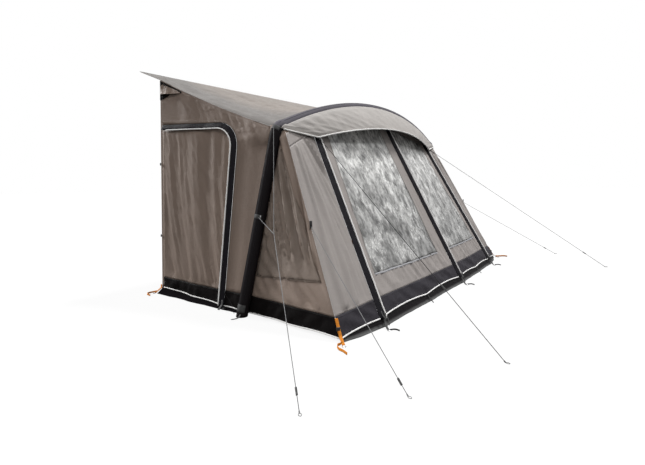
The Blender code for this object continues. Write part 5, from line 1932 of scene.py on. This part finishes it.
def build_ladder(name, which):
    foot = on_line(which, hem_front)
    end = Vector((foot.x - 0.077, foot.y - 0.100, 0.005))
    strap = beside(foot, (0.0, -0.028, 0.050), (-0.012, -0.034, 0.0)) + [end.lerp(foot, 0.3), end]
    strap, across = smooth(strap, 20), (1.0, -0.7, 0)
    ribbon("ladder_strap_" + name, strap, across, wide_strap, grey_webbing, tape_thickness)
    ring_at, halves = end + Vector((-0.006, -0.010, 0)), (0.014, 0.012)
    ways = ((0.6, 0.8, 0), (0.8, -0.6, 0))
    oval_ring("ladder_ring_" + name, ring_at, *ways, halves, loop_wire, bright_steel, "steel")
    tail = smooth(beside(end, (0, -0.012, 0.004), (0.02, -0.05, 0.010), (0.03, -0.085, 0.003)), 12)
    ribbon("ladder_tail_" + name, tail, (0.2, 0, 1), narrow_strap, black_webbing)
    strap = beside(foot, (0.035, -0.030, 0.020), (0.030, -0.045, -0.020), (0.018, -0.060, -0.052))
    ribbon("ladder_side_strap_" + name, smooth(strap, 12), (1, 0, 0), narrow_strap, grey_webbing)
    tape = beside(foot, (-0.050, -0.020, 0.075), (-0.048, -0.038, 0.040))
    tape += beside(foot, (-0.022, -0.046, 0.010), (-0.004, -0.044, 0.002))
    tape, across = smooth(tape, 14), (1, 0.3, 0.3)
    ribbon("zip_foot_tab_" + name, tape, across, middle_strap, grey_webbing, tape_thickness)


def build_hem_strap(k, x):
    hem = Vector((x, front_y(x, front_hem(x)), front_hem(x)))
    strap = beside(hem, (0, -0.006, 0.012), (-0.004, -0.024, -0.016))
    strap = smooth(strap + [Vector((hem.x - 0.04, hem.y - 0.085, 0.004))], 16)
    ribbon("hem_strap_%d" % k, strap, (1, 0, 0), middle_strap, black_webbing, tape_thickness)


# %% At the foot of the legs and of the side zips
cuff_z, cuff_width = 0.075, 0.07
leg_tail = [(2.098, -0.222, 0.035), (2.112, -0.214, 0.012), (2.140, -0.205, 0.005), (2.178, -0.190, 0.006)]


def build_leg_foot(name, side):
    heights = (cuff_z - 0.015, cuff_z, cuff_z + 0.015)
    station = arch_stations([Vector((side * leg_half(z), arch_y(z), z)) for z in heights])[1]
    cuff = [on_tube(station, -side * angle, patch_lift) for angle in range(20, 164, 12)]
    ribbon("leg_cuff_" + name, cuff, station.ahead, cuff_width, grey_webbing)
    foot_y, foot_half = side_zip_foot
    base = Vector((side * (foot_half + 0.012), foot_y, side_hem(foot_y)))
    tab = beside(base, (0, -0.02, 0.055), (side * 0.006, -0.02, 0.01))
    tab = resampled(tab + [Vector((base.x + side * 0.05, foot_y - 0.02, 0.006))], 12)
    ribbon("side_zip_tab_" + name, tab, (0, 1, 0), 0.026, grey_webbing, tape_thickness)
    tail = smooth(mirrored(side, leg_tail), 14)
    ribbon("leg_tail_" + name, tail, (0.2, 1, 0), wide_strap, grey_webbing, tape_thickness)
    brace = [side_cloth(side, 0.075, 0.125, 0.012), side_cloth(side, 0.0, 0.060, 0.016)]
    brace = smooth(brace + mirrored(side, [(2.080, -0.120, 0.022)]), 14)
    ribbon("foot_brace_" + name, brace, (0, 0.6, 0.8), narrow_strap, black_webbing)
    buckle_at, ahead, buckle_size = (side * 2.028, 0.078, 0.020), (side, -0.2, 0), (0.034, 0.028, 0.010)
    block("zip_foot_buckle_" + name, buckle_at, ahead, (0, 0, 1), buckle_size, dark_plastic)


# %% All the webbing
for strap_name, strap_side in sides.items():
    build_corner_strap(strap_name, strap_side)
    build_rear_strap(strap_name, strap_side)
    build_leg_loop(strap_name, strap_side)
    build_tabs(strap_name, strap_side)
    build_leg_foot(strap_name, strap_side)
for zip_name, zip_which in front_zips.items():
    build_ladder(zip_name, zip_which)
for strap_number, strap_x in enumerate(hem_pegs):
    build_hem_strap(strap_number, strap_x)
print("pieces in the scene:", len(bpy.context.scene.collection.all_objects))

# %% [markdown]
# ## Rigid parts
#
# The rail's beading, the valve, the rings and the zip sliders keep their solid shapes. They
# only need their own finish, and edges that stay sharp where two faces meet at an angle.

# %% New finishes on solids
sharp_from = math.radians(35)
finishes = {"rail_beading": grey_plastic, "air_valve": dark_plastic, "valve_cap": dark_plastic}
finishes.update({"strap_ring_" + name: bright_steel for name in sides})
finishes.update({"side_zip_slider_" + name: dark_metal for name in sides})
finishes.update({"front_zip_slider_" + name: dark_metal for name in front_zips})
for node_name, finish in finishes.items():
    mesh = nodes[node_name].data
    mesh.materials.clear()
    mesh.materials.append(finish)
    mesh.shade_smooth()
    mesh.set_sharp_from_angle(angle=sharp_from)
print("solids with a new finish:", len(finishes))
